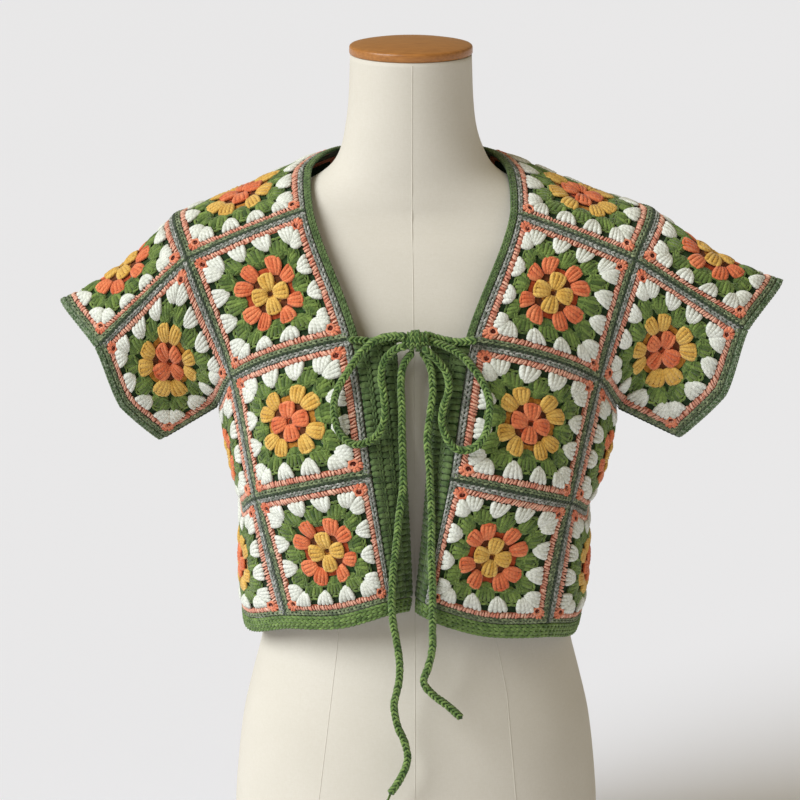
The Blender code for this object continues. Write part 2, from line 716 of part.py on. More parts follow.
def loft(name, rings, material):
    """A closed solid through level rings, with a point in the middle of each end."""
    count = len(rings[0])
    points = []
    faces = []
    for ring in rings:
        points.extend(ring)
    for level in range(len(rings) - 1):
        for index in range(count):
            after = (index + 1) % count
            start = level * count
            faces.append((start + index, start + after, start + count + after, start + count + index))
    faces.append(tuple(reversed(range(count))))
    faces.append(tuple(range((len(rings) - 1) * count, len(rings) * count)))
    return mesh_object(name, points, faces, material)


form_rings = []
for form_height in FORM_HEIGHTS:
    form_rings.append(ring_points(form_height, *section_at(form_height)))
loft("dress_form", form_rings, FORM_CLOTH)

CAP_SECTIONS = [
    # (height, radius)
    (CAP_BOTTOM, CAP_RADIUS - 0.0012),
    (CAP_BOTTOM + 0.0012, CAP_RADIUS),
    (CAP_RIM_TOP - 0.0022, CAP_RADIUS),
    (CAP_RIM_TOP - 0.0006, CAP_RADIUS - 0.0009),
    (CAP_RIM_TOP, CAP_RADIUS - 0.0030),
    (CAP_DOME_TOP - 0.0012, CAP_RADIUS * 0.62),
    (CAP_DOME_TOP, CAP_RADIUS * 0.20),
]
cap_rings = []
for cap_height, cap_radius in CAP_SECTIONS:
    cap_rings.append([place + Vector((0.0, CAP_CENTRE_Y, 0.0)) for place in ring_points(
        cap_height, CAP_CENTRE_X, cap_radius, cap_radius, cap_radius, 2.0)])
loft("neck_cap", cap_rings, FORM_WOOD)


# Tie cord and knot
def smooth_route(rows, step):
    """Even points along a smooth curve through the rows of a route."""
    places = [Vector(row) / 1000.0 for row in rows]
    slopes = line_slopes(places, False)
    fine = []
    for index in range(len(places) - 1):
        length = (places[index + 1] - places[index]).length
        for sample in range(12):
            fine.append(hermite(places[index], slopes[index] * length, places[index + 1],
                                slopes[index + 1] * length, sample / 12))
    fine.append(places[-1])
    lengths = [0.0]
    for index in range(1, len(fine)):
        lengths.append(lengths[-1] + (fine[index] - fine[index - 1]).length)
    count = max(4, round(lengths[-1] / step))
    even = []
    spot = 0
    for index in range(count + 1):
        target = lengths[-1] * index / count
        while spot < len(fine) - 2 and lengths[spot + 1] < target:
            spot += 1
        span = max(lengths[spot + 1] - lengths[spot], 1e-9)
        even.append(fine[spot].lerp(fine[spot + 1], min(1.0, (target - lengths[spot]) / span)))
    return even


def build_cord(name, rows):
    curve = bpy.data.curves.new(name, "CURVE")
    curve.dimensions = "3D"
    curve.bevel_depth = CORD_DIAMETER / 2
    curve.bevel_resolution = 2
    curve.use_fill_caps = True
    places = smooth_route(rows, CORD_STEP)
    spline = curve.splines.new("POLY")
    spline.points.add(len(places) - 1)
    for index, place in enumerate(places):
        spline.points[index].co = (place.x, place.y, place.z, 1.0)
    spline.use_smooth = True
    curve.materials.append(WOOL_GREEN)
    cord = bpy.data.objects.new(name, curve)
    bpy.context.scene.collection.objects.link(cord)
    return cord


for cord_name, cord_rows in CORD_ROUTES.items():
    build_cord(cord_name, cord_rows)

KNOT_POINTS = 12
KNOT_LEVELS = (-1.0, -0.92, -0.7, -0.38, 0.0, 0.38, 0.7, 0.92, 1.0)


def build_knot():
    """The knot of the bow: a rounded lump with a shallow waist where the cord wraps it."""
    rings = []
    for level in KNOT_LEVELS:
        width = math.sqrt(max(0.10, 1.0 - level * level)) * (1.0 - 0.06 * math.cos(level * math.pi * 2))
        ring = []
        for index in range(KNOT_POINTS):
            angle = 2 * math.pi * index / KNOT_POINTS
            ring.append(KNOT_CENTRE + Vector((KNOT_HALF.x * width * math.cos(angle),
                                              KNOT_HALF.y * width * math.sin(angle),
                                              KNOT_HALF.z * level * 0.98)))
        rings.append(ring)
    return loft("bow_knot", rings, WOOL_GREEN)


build_knot()
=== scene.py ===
import math
import random

import bpy
import numpy as np
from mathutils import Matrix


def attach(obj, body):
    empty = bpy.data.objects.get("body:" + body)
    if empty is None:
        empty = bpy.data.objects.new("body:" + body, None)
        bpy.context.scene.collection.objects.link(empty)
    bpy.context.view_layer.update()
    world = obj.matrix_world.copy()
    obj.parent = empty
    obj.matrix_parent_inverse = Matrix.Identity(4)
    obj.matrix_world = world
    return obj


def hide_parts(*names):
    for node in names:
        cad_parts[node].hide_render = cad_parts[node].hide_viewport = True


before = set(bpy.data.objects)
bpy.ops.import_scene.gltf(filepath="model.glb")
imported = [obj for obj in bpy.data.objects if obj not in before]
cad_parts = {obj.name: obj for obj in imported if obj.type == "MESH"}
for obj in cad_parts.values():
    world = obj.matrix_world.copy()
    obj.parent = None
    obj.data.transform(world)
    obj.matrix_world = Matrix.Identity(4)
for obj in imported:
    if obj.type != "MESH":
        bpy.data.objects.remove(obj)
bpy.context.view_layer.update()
root = "root"
MM = 0.001

# Camera: the photograph's view, from a little above the garment
camera_data = bpy.data.cameras.new("camera")
camera_data.sensor_width = 36.0
camera_data.lens = 230.94
camera_data.clip_end = 200.0
camera = bpy.data.objects.new("camera", camera_data)
camera.location = (-0.0117, -4.5, 1.493)
camera.rotation_euler = (math.radians(90 - 13.042), 0.0, 0.0)
bpy.context.scene.collection.objects.link(camera)
bpy.context.scene.camera = camera
bpy.context.scene.view_settings.view_transform = "Standard"

# Layout of the garment: the same places, lines and sizes as the solids
SQUARE_SIDE = 0.113
HEM_WIDTH = 0.012
NECK_WIDTH = 0.007
CUFF_WIDTH = 0.0055
NORMAL_SAMPLES = 8    # directions read along an edge
LINE_SAMPLES = 24     # points read along an edge
STEP = 0.002          # share of a patch over which its slope is read
GRID = 40             # cells of a patch's table

CORNERS = {
    # name: (out_first, out_second, back, height_first, height_second)
    "feH": (0.0035, 0.0050, -0.104, 0.296, 0.295),
    "f0H": (0.0200, 0.0120, -0.1198, 0.297, 0.294),
    "fmH": (0.0655, 0.0630, -0.109, 0.281, 0.274),
    "f1H": (0.111, 0.1175, -0.088, 0.275, 0.2675),
    "sH": (0.150, 0.148, -0.022, 0.259, 0.2565),
    "b1H": (0.149, 0.148, 0.018, 0.274, 0.272),
    "b0H": (0.063, 0.063, 0.089, 0.328, 0.327),
    "feW": (0.008, 0.014, -0.115, 0.410, 0.408),
    "f0W": (0.0365, 0.0325, -0.130, 0.4135, 0.410),
    "f1W": (0.137, 0.137, -0.088, 0.382, 0.378),
    "sW": (0.150, 0.153, -0.022, 0.360, 0.358),
    "b1W": (0.151, 0.152, 0.020, 0.382, 0.380),
    "b0W": (0.064, 0.064, 0.091, 0.436, 0.435),
    "feC": (0.015, 0.015, -0.107, 0.529, 0.528),
    "f0C": (0.054, 0.051, -0.100, 0.529, 0.5255),
    "f1C": (0.159, 0.163, -0.052, 0.484, 0.482),
    "uC": (0.172, 0.180, -0.006, 0.452, 0.450),
    "b1C": (0.161, 0.165, 0.044, 0.494, 0.494),
    "b0C": (0.063, 0.063, 0.095, 0.552, 0.552),
    "f0S": (0.094, 0.091, -0.047, 0.632, 0.629),
    "f1S": (0.199, 0.196, -0.047, 0.589, 0.588),
    "r0": (0.095, 0.088, 0.000, 0.661, 0.659),
    "r1": (0.212, 0.214, 0.000, 0.618, 0.622),
    "b0S": (0.066, 0.065, 0.062, 0.666, 0.666),
    "b1S": (0.182, 0.184, 0.050, 0.609, 0.615),
    "cf": (0.278, 0.2925, -0.040, 0.511, 0.526),
    "cr": (0.310, 0.325, 0.000, 0.543, 0.560),
    "cb": (0.276, 0.294, 0.040, 0.513, 0.529),
    "cu": (0.2250, 0.237, 0.000, 0.419, 0.421),
    "ck": (0.2582, 0.2755, -0.025, 0.4546, 0.4647),
}
MIDDLE_BACK = {
    # name: (back, height)
    "mS": (0.078, 0.662),
    "mC": (0.104, 0.558),
    "mW": (0.101, 0.444),
    "mH": (0.098, 0.335),
}
SIDE_LINES = [
    # (tautness, corners)
    (0.2, ("f0H", "f0W", "f0C", "f0S", "r0", "b0S", "b0C", "b0W", "b0H")),
    (0.2, ("f1H", "f1W", "f1C", "f1S", "r1", "b1S", "b1C", "b1W", "b1H")),
    (0.0, ("feH", "feW", "feC")),
    (0.0, ("f0C", "feC")),
    (0.0, ("uC", "cu")),
    (0.7, ("f0S", "f1S", "cf")),
]
ROUND_LINES = [
    # (tautness, corners)
    (0.1, ("feH", "f0H", "fmH", "f1H", "sH", "b1H", "b0H", "mH")),
    (0.1, ("f0W", "f1W", "sW", "b1W", "b0W", "mW")),
    (0.2, ("f0C", "f1C", "uC", "b1C", "b0C", "mC")),
    (0.5, ("cb", "b1S", "b0S", "mS")),
]
CUFF_LINE = ("cf", "cr", "cb", "cu", "ck")
CUFF_TAUTNESS = 0.55
HALF_SQUARES = {
    # name: (sides first, last, inner and outer, colour_set, puff_first, puff_second)
    "front_chest": ("f0C f1C", "f0S f1S", "f0C f0S", "f1C f1S", "a", 0.0, 0.0),
    "front_bust": ("f0W f1W", "f0C f1C", "f0W f0C", "f1W f1C", "b", 0.002, 0.002),
    "front_waist": ("f0H fmH f1H", "f0W f1W", "f0H f0W", "f1H f1W", "a", 0.0, 0.0),
    "side_bust": ("f1W sW b1W", "f1C uC b1C", "f1W f1C", "b1W b1C", "a", 0.003, 0.007),
    "side_waist": ("f1H sH b1H", "f1W sW b1W", "f1H f1W", "b1H b1W", "b", 0.003, 0.005),
    "back_chest": ("b0S b1S", "b0C b1C", "b0S b0C", "b1S b1C", "a", 0.0, 0.0),
    "back_bust": ("b0C b1C", "b0W b1W", "b0C b0W", "b1C b1W", "b", 0.0, 0.0),
    "back_waist": ("b0W b1W", "b0H b1H", "b0W b0H", "b1W b1H", "a", 0.0, 0.0),
    "shoulder": ("f0S f1S", "b0S b1S", "f0S r0 b0S", "f1S r1 b1S", "b", -0.004, -0.005),
    "sleeve_top": ("f1S cf", "b1S cb", "f1S r1 b1S", "cf cr cb", "a", -0.005, -0.003),
    "sleeve_front": ("f1C uC cu", "f1S cf", "f1C f1S", "cu ck cf", "b", 0.002, 0.002),
    "sleeve_back": ("b1S cb", "b1C uC cu", "b1S b1C", "cb cu", "b", 0.002, 0.002),
}
PULLS = {
    # name: (pull_first, pull_second), of the middle of the square, across, back and up
    "sleeve_top": ((0.0, -0.010, -0.004), (0.0, -0.010, -0.004)),
    "sleeve_front": ((-0.007, 0.0, -0.003), (0.002, 0.0, 0.0055)),
    "front_waist": ((0.006, 0.0, 0.0015), (-0.0105, 0.0, 0.001)),
}
NO_PULLS = ((0.0, 0.0, 0.0), (0.0, 0.0, 0.0))
MIDDLE_SQUARES = {
    # name: (upper row, lower row, colour_set)
    "middle_back_chest": ("S", "C", "b"),
    "middle_back_bust": ("C", "W", "a"),
    "middle_back_waist": ("W", "H", "b"),
}


def unit(rows):
    return rows / np.maximum(np.linalg.norm(rows, axis=-1, keepdims=True), 1e-12)


places = {}
for name, (out_first, out_second, back, height_first, height_second) in CORNERS.items():
    places["A" + name] = np.array((-out_first, back, height_first))
    places["B" + name] = np.array((out_second, back, height_second))
for name, (back, height) in MIDDLE_BACK.items():
    places["M" + name] = np.array((0.0, back, height))
edges = {}


def hermite(start, start_slope, end, end_slope, share):
    square = share * share
    cube = square * share
    return (start * (2 * cube - 3 * square + 1) + start_slope * (cube - 2 * square + share)
            + end * (3 * square - 2 * cube) + end_slope * (cube - square))


def line_slopes(points, closed):
    count = len(points)
    slopes = [None] * count
    for index in range(count):
        if not closed and index in (0, count - 1):
            continue
        before = points[index] - points[index - 1]
        after = points[(index + 1) % count] - points[index]
        length_before = np.linalg.norm(before)
        length_after = np.linalg.norm(after)
        slopes[index] = ((before / length_before * length_after + after / length_after * length_before)
                         / (length_before + length_after))
    if slopes[0] is None:
        chord = unit(points[1] - points[0])
        slopes[0] = chord * 2 - slopes[1] if slopes[1] is not None else chord
    if slopes[-1] is None:
        chord = unit(points[-1] - points[-2])
        slopes[-1] = chord * 2 - slopes[-2] if count > 2 else chord
    return slopes


def add_line(names, tautness, closed=False):
    points = [places[name] for name in names]
    slopes = line_slopes(points, closed)
    for index in range(len(names) if closed else len(names) - 1):
        after = (index + 1) % len(names)
        chord = points[after] - points[index]
        length = np.linalg.norm(chord)
        start_slope = slopes[index] * length * (1 - tautness) + chord * tautness
        end_slope = slopes[after] * length * (1 - tautness) + chord * tautness
        edges[(names[index], names[after])] = (points[index], start_slope, points[after], end_slope)


for half in "AB":
    for tautness, line in SIDE_LINES:
        add_line([half + name for name in line], tautness)
    add_line([half + name for name in CUFF_LINE], CUFF_TAUTNESS, closed=True)
for tautness, line in ROUND_LINES:
    add_line(["A" + name for name in line[:-1]] + ["M" + line[-1]]
             + ["B" + name for name in reversed(line[:-1])], tautness)


def edge_point(start_name, end_name, share):
    share = np.asarray(share, float)[..., None]
    if (start_name, end_name) in edges:
        return hermite(*edges[(start_name, end_name)], share)
    return hermite(*edges[(end_name, start_name)], 1.0 - share)


def along_side(names, share, read):
    """Read a side of one or two edges at the shares given."""
    share = np.asarray(share, float)
    count = len(names) - 1
    out = np.zeros(share.shape + (3,))
    for index in range(count):
        low = index / count
        high = (index + 1) / count
        inside = (share >= low - 1e-9) & (share <= high + 1e-9)
        if inside.any():
            local = np.clip(share[inside] * count - index, 0.0, 1.0)
            out[inside] = read(names[index], names[index + 1], local)
    return out


edge_normals = {}
place_normals = {}


def edge_normal(start_name, end_name, share):
    row = edge_normals.get((start_name, end_name))
    if row is None:
        row = edge_normals[(end_name, start_name)]
        share = 1.0 - share
    spot = share * NORMAL_SAMPLES
    index = np.minimum(spot.astype(int), NORMAL_SAMPLES - 1)
    part = (spot - index)[..., None]
    return unit(row[index] * (1 - part) + row[index + 1] * part)


class Patch:
    """A four-sided piece of cloth between four sides of the layout, placed by across and along."""

    def __init__(self, first, last, inner, outer, sign, puff=0.0, pull=(0.0, 0.0, 0.0)):
        self.first, self.last, self.inner, self.outer, self.sign = first, last, inner, outer, sign
        self.names = (first[0], first[-1], last[0], last[-1])
        self.corners = [places[name] for name in self.names]
        diagonals = np.cross(self.corners[3] - self.corners[0], self.corners[2] - self.corners[1])
        self.swell = unit(diagonals) * (puff * sign) + np.array(pull)

    def blend(self, across, along, read, corners):
        u, v = across[..., None], along[..., None]
        ruled = (along_side(self.first, across, read) * (1 - v) + along_side(self.last, across, read) * v
                 + along_side(self.inner, along, read) * (1 - u)
                 + along_side(self.outer, along, read) * u)
        return ruled - (corners[0] * ((1 - u) * (1 - v)) + corners[1] * (u * (1 - v))
                        + corners[2] * ((1 - u) * v) + corners[3] * (u * v))

    def point(self, across, along):
        across, along = np.asarray(across, float), np.asarray(along, float)
        swell = 16 * across * (1 - across) * along * (1 - along)
        return self.blend(across, along, edge_point, self.corners) + self.swell * swell[..., None]

    def raw_normal(self, across, along):
        low_across, high_across = np.maximum(0.0, across - STEP), np.minimum(1.0, across + STEP)
        low_along, high_along = np.maximum(0.0, along - STEP), np.minimum(1.0, along + STEP)
        slope_across = self.point(high_across, along) - self.point(low_across, along)
        slope_along = self.point(across, high_along) - self.point(across, low_along)
        return unit(np.cross(slope_across, slope_along)) * self.sign

    def fill_grid(self):
        line = np.linspace(0.0, 1.0, GRID + 1)
        across, along = np.meshgrid(line, line, indexing="ij")
        self.grid = self.point(across, along)
        corners = [place_normals[name] for name in self.names]
        self.grid_normals = unit(self.blend(across, along, edge_normal, corners))

    def place(self, rows):
        """Points in metres for rows of across and along as shares, and height in metres."""
        spots = np.clip(rows[:, :2], 0.0, 1.0) * GRID
        index = np.minimum(spots.astype(int), GRID - 1)
        part = rows[:, :2] * GRID - index
        out = []
        for grid in (self.grid, self.grid_normals):
            i, j = index[:, 0], index[:, 1]
            a, b = part[:, :1], part[:, 1:]
            out.append(grid[i, j] * (1 - a) * (1 - b) + grid[i + 1, j] * a * (1 - b)
                       + grid[i, j + 1] * (1 - a) * b + grid[i + 1, j + 1] * a * b)
        return out[0] + unit(out[1]) * rows[:, 2:3]


patches = {}
square_sets = {}
for half, sign, word in (("A", -1.0, "first"), ("B", 1.0, "second")):
    for name, row in HALF_SQUARES.items():
        sides = [tuple(half + corner for corner in side.split()) for side in row[:4]]
        pull = PULLS.get(name, NO_PULLS)[0 if half == "A" else 1]
        patches[name + "_" + word] = Patch(*sides, sign, row[5] if half == "A" else row[6], pull)
        square_sets[name + "_" + word] = row[4]
    patches["band_" + word] = Patch((half + "f0H", half + "feH"), (half + "f0C", half + "feC"),
                                    (half + "f0H", half + "f0W", half + "f0C"),
                                    (half + "feH", half + "feW", half + "feC"), -sign)
for name, (upper, lower, colour_set) in MIDDLE_SQUARES.items():
    patches[name] = Patch(("Ab0" + upper, "Mm" + upper, "Bb0" + upper),
                          ("Ab0" + lower, "Mm" + lower, "Bb0" + lower),
                          ("Ab0" + upper, "Ab0" + lower), ("Bb0" + upper, "Bb0" + lower), 1.0)
    square_sets[name] = colour_set

# Outward directions, shared by the patches that meet at an edge; edge_users says which squares do
edge_users = {}
sums = {}
for patch_name, patch in patches.items():
    for side, names in enumerate((patch.first, patch.last, patch.inner, patch.outer)):
        count = len(names) - 1
        for index in range(count):
            share = (index + np.arange(NORMAL_SAMPLES + 1) / NORMAL_SAMPLES) / count
            fixed = np.full_like(share, float(side % 2))
            row = patch.raw_normal(*((share, fixed) if side < 2 else (fixed, share)))
            key = (names[index], names[index + 1])
            if key not in edges:
                key = (names[index + 1], names[index])
                row = row[::-1]
            sums[key] = sums.get(key, 0.0) + row
            edge_users.setdefault(key, []).append(patch_name)
for (start_name, end_name), total in sums.items():
    for name, value in ((start_name, total[0]), (end_name, total[-1])):
        place_normals[name] = place_normals.get(name, 0.0) + value
place_normals = {name: unit(value) for name, value in place_normals.items()}
for key, total in sums.items():
    row = unit(total)
    row[0] = place_normals[key[0]]
    row[-1] = place_normals[key[1]]
    edge_normals[key] = row
for patch in patches.values():
    patch.fill_grid()


class Line:
    """A chain of edges, placed by distance along it, distance away from it, and height."""

    def __init__(self, names, turn=1.0, closed=False):
        chain = list(names) + ([names[0]] if closed else [])
        points, normals = [], []
        for start_name, end_name in zip(chain[:-1], chain[1:]):
            share = np.arange(LINE_SAMPLES) / LINE_SAMPLES
            points.append(edge_point(start_name, end_name, share))
            normals.append(edge_normal(start_name, end_name, share))
        points.append(edge_point(chain[-2], chain[-1], np.array([1.0])))
        normals.append(edge_normal(chain[-2], chain[-1], np.array([1.0])))
        self.points = np.concatenate(points)
        self.normals = np.concatenate(normals)
        tangents = unit(np.gradient(self.points, axis=0))
        if closed:
            tangents[0] = tangents[-1] = unit(self.points[1] - self.points[-2])
        self.away = unit(np.cross(tangents, self.normals)) * turn
        steps = np.linalg.norm(np.diff(self.points, axis=0), axis=1)
        self.spots = np.concatenate(([0.0], np.cumsum(steps)))
        self.length = float(self.spots[-1])

    def place(self, rows):
        def read(table):
            return np.stack([np.interp(rows[:, 0], self.spots, table[:, axis]) for axis in range(3)], 1)
        return (read(self.points) + unit(read(self.away)) * rows[:, 1:2]
                + unit(read(self.normals)) * rows[:, 2:3])


# Materials
def linear(rgb):
    out = []
    for value in rgb:
        share = value / 255.0
        out.append(share / 12.92 if share <= 0.04045 else ((share + 0.055) / 1.055) ** 2.4)
    return (out[0], out[1], out[2], 1.0)


class Nodes:
    """Short calls for a material's node tree."""

    def __init__(self, name):
        self.material = bpy.data.materials.new(name)
        self.material.use_nodes = True
        self.tree = self.material.node_tree
        self.shader = self.tree.nodes["Principled BSDF"]

    def add(self, kind, **values):
        node = self.tree.nodes.new(kind)
        for key, value in values.items():
            setattr(node, key, value)
        return node

    def link(self, source, target):
        self.tree.links.new(source, target)

    def feed(self, node, values):
        """Set a node's inputs, by number or name: to a plain value, or by a link to another node."""
        for key, value in values.items():
            if isinstance(value, (int, float, tuple)):
                node.inputs[key].default_value = value
            else:
                self.link(value, node.inputs[key])

    def noise(self, scale, detail=2.0, roughness=0.5, stretch=None):
        where = self.add("ShaderNodeTexCoord").outputs["Object"]
        if stretch:
            mapping = self.add("ShaderNodeMapping")
            self.feed(mapping, {"Scale": stretch, "Vector": where})
            where = mapping.outputs["Vector"]
        node = self.add("ShaderNodeTexNoise")
        self.feed(node, {"Scale": scale, "Detail": detail, "Roughness": roughness, "Vector": where})
        return node.outputs["Fac"]

    def math(self, operation, *values):
        node = self.add("ShaderNodeMath", operation=operation)
        self.feed(node, dict(enumerate(values)))
        return node.outputs[0]

    def spread(self, value, low, high, to_low=0.0, to_high=1.0):
        node = self.add("ShaderNodeMapRange")
        self.feed(node, {"From Min": low, "From Max": high, "To Min": to_low, "To Max": to_high,
                         "Value": value})
        return node.outputs["Result"]

    def mix(self, factor, first, second, blend="MIX"):
        node = self.add("ShaderNodeMix", data_type="RGBA", blend_type=blend)
        self.feed(node, {0: factor, 6: first, 7: second})
        return node.outputs[2]

    def bump(self, height, strength, distance, before=None):
        node = self.add("ShaderNodeBump")
        self.feed(node, {"Strength": strength, "Distance": distance, "Height": height})
        if before is not None:
            self.link(before, node.inputs["Normal"])
        return node.outputs["Normal"]

    def finish(self, colour, normal, roughness, sheen=0.0, specular=0.25):
        self.feed(self.shader, {"Base Color": colour, "Normal": normal, "Roughness": roughness,
                                "Specular IOR Level": specular, "Sheen Weight": sheen,
                                "Sheen Roughness": 0.5})
        return self.material


def yarn(name, shade, light, heather=None, island_share=0.5):
    """Plied wool: soft helical plies, loose fibres and a change of tone from strand to strand; painted shade
    darkens the hollows of the plies and fibres.
    """
    n = Nodes(name)
    split = n.add("ShaderNodeSeparateXYZ")
    n.link(n.add("ShaderNodeUVMap").outputs["UV"], split.inputs["Vector"])
    turn = n.math("MULTIPLY_ADD", split.outputs["Y"], 1.3, n.math("MULTIPLY", split.outputs["X"], 2.0))
    ply = n.math("MULTIPLY_ADD", n.math("SINE", n.math("MULTIPLY", turn, 2 * math.pi)), 0.5, 0.5)
    ply = n.math("POWER", ply, 0.7)
    fibre = n.noise(1300.0, 3.0, 0.65)
    fuzz = n.noise(520.0, 2.0, 0.6)
    patchy = n.spread(n.noise(160.0, 2.0), 0.3, 0.7)
    island = n.add("ShaderNodeNewGeometry").outputs["Random Per Island"]
    blend = n.math("MULTIPLY_ADD", island, island_share, n.math("MULTIPLY", patchy, 1.0 - island_share))
    colour = n.mix(blend, linear(shade), linear(light))
    if heather:
        fleck = n.spread(n.noise(420.0, 2.0, 0.7), 0.45, 0.60)
        colour = n.mix(fleck, colour, linear(heather))
    # painted shade: the colour is darkened where the ply and fuzz bumps are low, in the grooves and hollows
    # of the yarn
    groove_shade = n.math("MULTIPLY", n.spread(ply, 0.0, 0.7, 0.84, 1.0), n.spread(fuzz, 0.35, 0.6, 0.82, 1.0))
    grey = n.add("ShaderNodeCombineColor")
    for channel in range(3):
        n.link(groove_shade, grey.inputs[channel])
    colour = n.mix(1.0, colour, grey.outputs[0], "MULTIPLY")
    normal = n.bump(ply, 0.22, 0.0007)
    normal = n.bump(fuzz, 0.45, 0.0008, normal)
    normal = n.bump(fibre, 0.5, 0.0005, normal)
    return n.finish(colour, normal, 0.95, 0.22)


def ground(name, shade, light):
    """The cloth behind the raised stitches, in darker tones that paint the shade in the gaps between
    stitches.
    """
    n = Nodes(name)
    colour = n.mix(n.spread(n.noise(500.0, 3.0), 0.35, 0.65), linear(shade), linear(light))
    normal = n.bump(n.noise(420.0, 3.0), 0.7, 0.0012)
    return n.finish(colour, normal, 0.95, 0.1)


WOOL = {
    "yellow": yarn("yarn_yellow", (204, 152, 58), (236, 196, 106)),
    "orange": yarn("yarn_orange", (206, 92, 50), (242, 146, 98)),
    "green": yarn("yarn_leaf_green", (50, 76, 32), (134, 158, 78), None, 0.6),
    "white": yarn("yarn_white", (214, 217, 204), (240, 242, 234)),
    "coral": yarn("yarn_coral", (214, 120, 94), (252, 206, 180), None, 0.62),
    "corner": yarn("yarn_corner", (208, 100, 66), (246, 164, 128)),
    "hole": yarn("yarn_corner_shade", (88, 32, 18), (122, 50, 30)),
    "grey": yarn("yarn_grey", (108, 108, 104), (206, 206, 200), (96, 108, 92), 0.62),
    "sage": yarn("yarn_sage", (80, 98, 60), (168, 180, 138), (78, 92, 66), 0.62),
    "seam": yarn("yarn_seam", (36, 48, 34), (72, 88, 64)),
    "trim": yarn("yarn_trim_green", (68, 96, 42), (132, 160, 88)),
    "band": yarn("yarn_band_green", (56, 80, 42), (114, 138, 84)),
    "cuff": yarn("yarn_cuff_green", (42, 68, 36), (98, 126, 80), (140, 154, 128), 0.45),
    "cord": yarn("yarn_cord_green", (60, 92, 38), (140, 168, 92), None, 0.65),
    # painted shade: the core is a darker green so the gaps between the cord's legs look shaded
    "core": yarn("yarn_core_green", (40, 66, 28), (66, 96, 44)),
}
# Ground cloths are darker tones of each yarn: painted shade for the gaps and hollows between stitches;
# cloth_deep_shade paints the deepest shade round the heart and in the middle hole
GROUND = {
    "yellow": ground("cloth_yellow", (150, 96, 30), (190, 132, 54)),
    "orange": ground("cloth_orange", (140, 52, 24), (184, 82, 44)),
    "deep": ground("cloth_deep_shade", (70, 36, 18), (108, 58, 30)),
    "green": ground("cloth_leaf_green", (26, 48, 20), (44, 74, 32)),
    "dark": ground("cloth_dark_green", (22, 40, 20), (38, 60, 30)),
    "coral": ground("cloth_coral", (172, 86, 64), (220, 142, 114)),
    "grey": ground("cloth_grey", (70, 76, 66), (98, 104, 90)),
    "trim": ground("cloth_trim_green", (24, 56, 20), (40, 80, 32)),
    "band": ground("cloth_band_green", (40, 70, 30), (66, 100, 48)),
    "cuff": ground("cloth_cuff_green", (44, 58, 40), (64, 80, 58)),
}


def form_material():
    n = Nodes("form_cotton")
    weave = n.math("MULTIPLY", n.noise(900.0, 2.0, 0.6, (1.0, 1.0, 0.25)), 0.5)
    weave = n.math("MULTIPLY_ADD", n.noise(900.0, 2.0, 0.6, (0.25, 0.25, 1.0)), 0.5, weave)
    colour = n.mix(n.spread(n.noise(9.0, 3.0), 0.3, 0.7), linear((204, 199, 188)), linear((211, 206, 196)))
    colour = n.mix(n.spread(weave, 0.35, 0.65, 0.0, 0.25), colour, linear((190, 183, 166)))
    return n.finish(colour, n.bump(weave, 0.25, 0.0003), 0.88, 0.08)


def wood_material():
    n = Nodes("form_beech")
    grain = n.noise(60.0, 4.0, 0.6, (1.0, 9.0, 9.0))
    pores = n.noise(900.0, 2.0, 0.5, (0.12, 1.0, 1.0))
    colour = n.mix(n.spread(grain, 0.3, 0.7), linear((146, 92, 40)), linear((176, 118, 58)))
    colour = n.mix(n.spread(pores, 0.55, 0.75, 0.0, 0.5), colour, linear((128, 82, 38)))
    return n.finish(colour, n.bump(grain, 0.15, 0.0004), 0.38, 0.0, 0.5)


FORM = form_material()
WOOD = wood_material()


def in_metres(points):
    return points * MM


def ring_corners(rows, around):
    """Numbers of the points in rings, and of the points beside them."""
    first = np.arange(rows)[:, None] * around
    index = np.arange(around)
    return first + index, first + (index + 1) % around


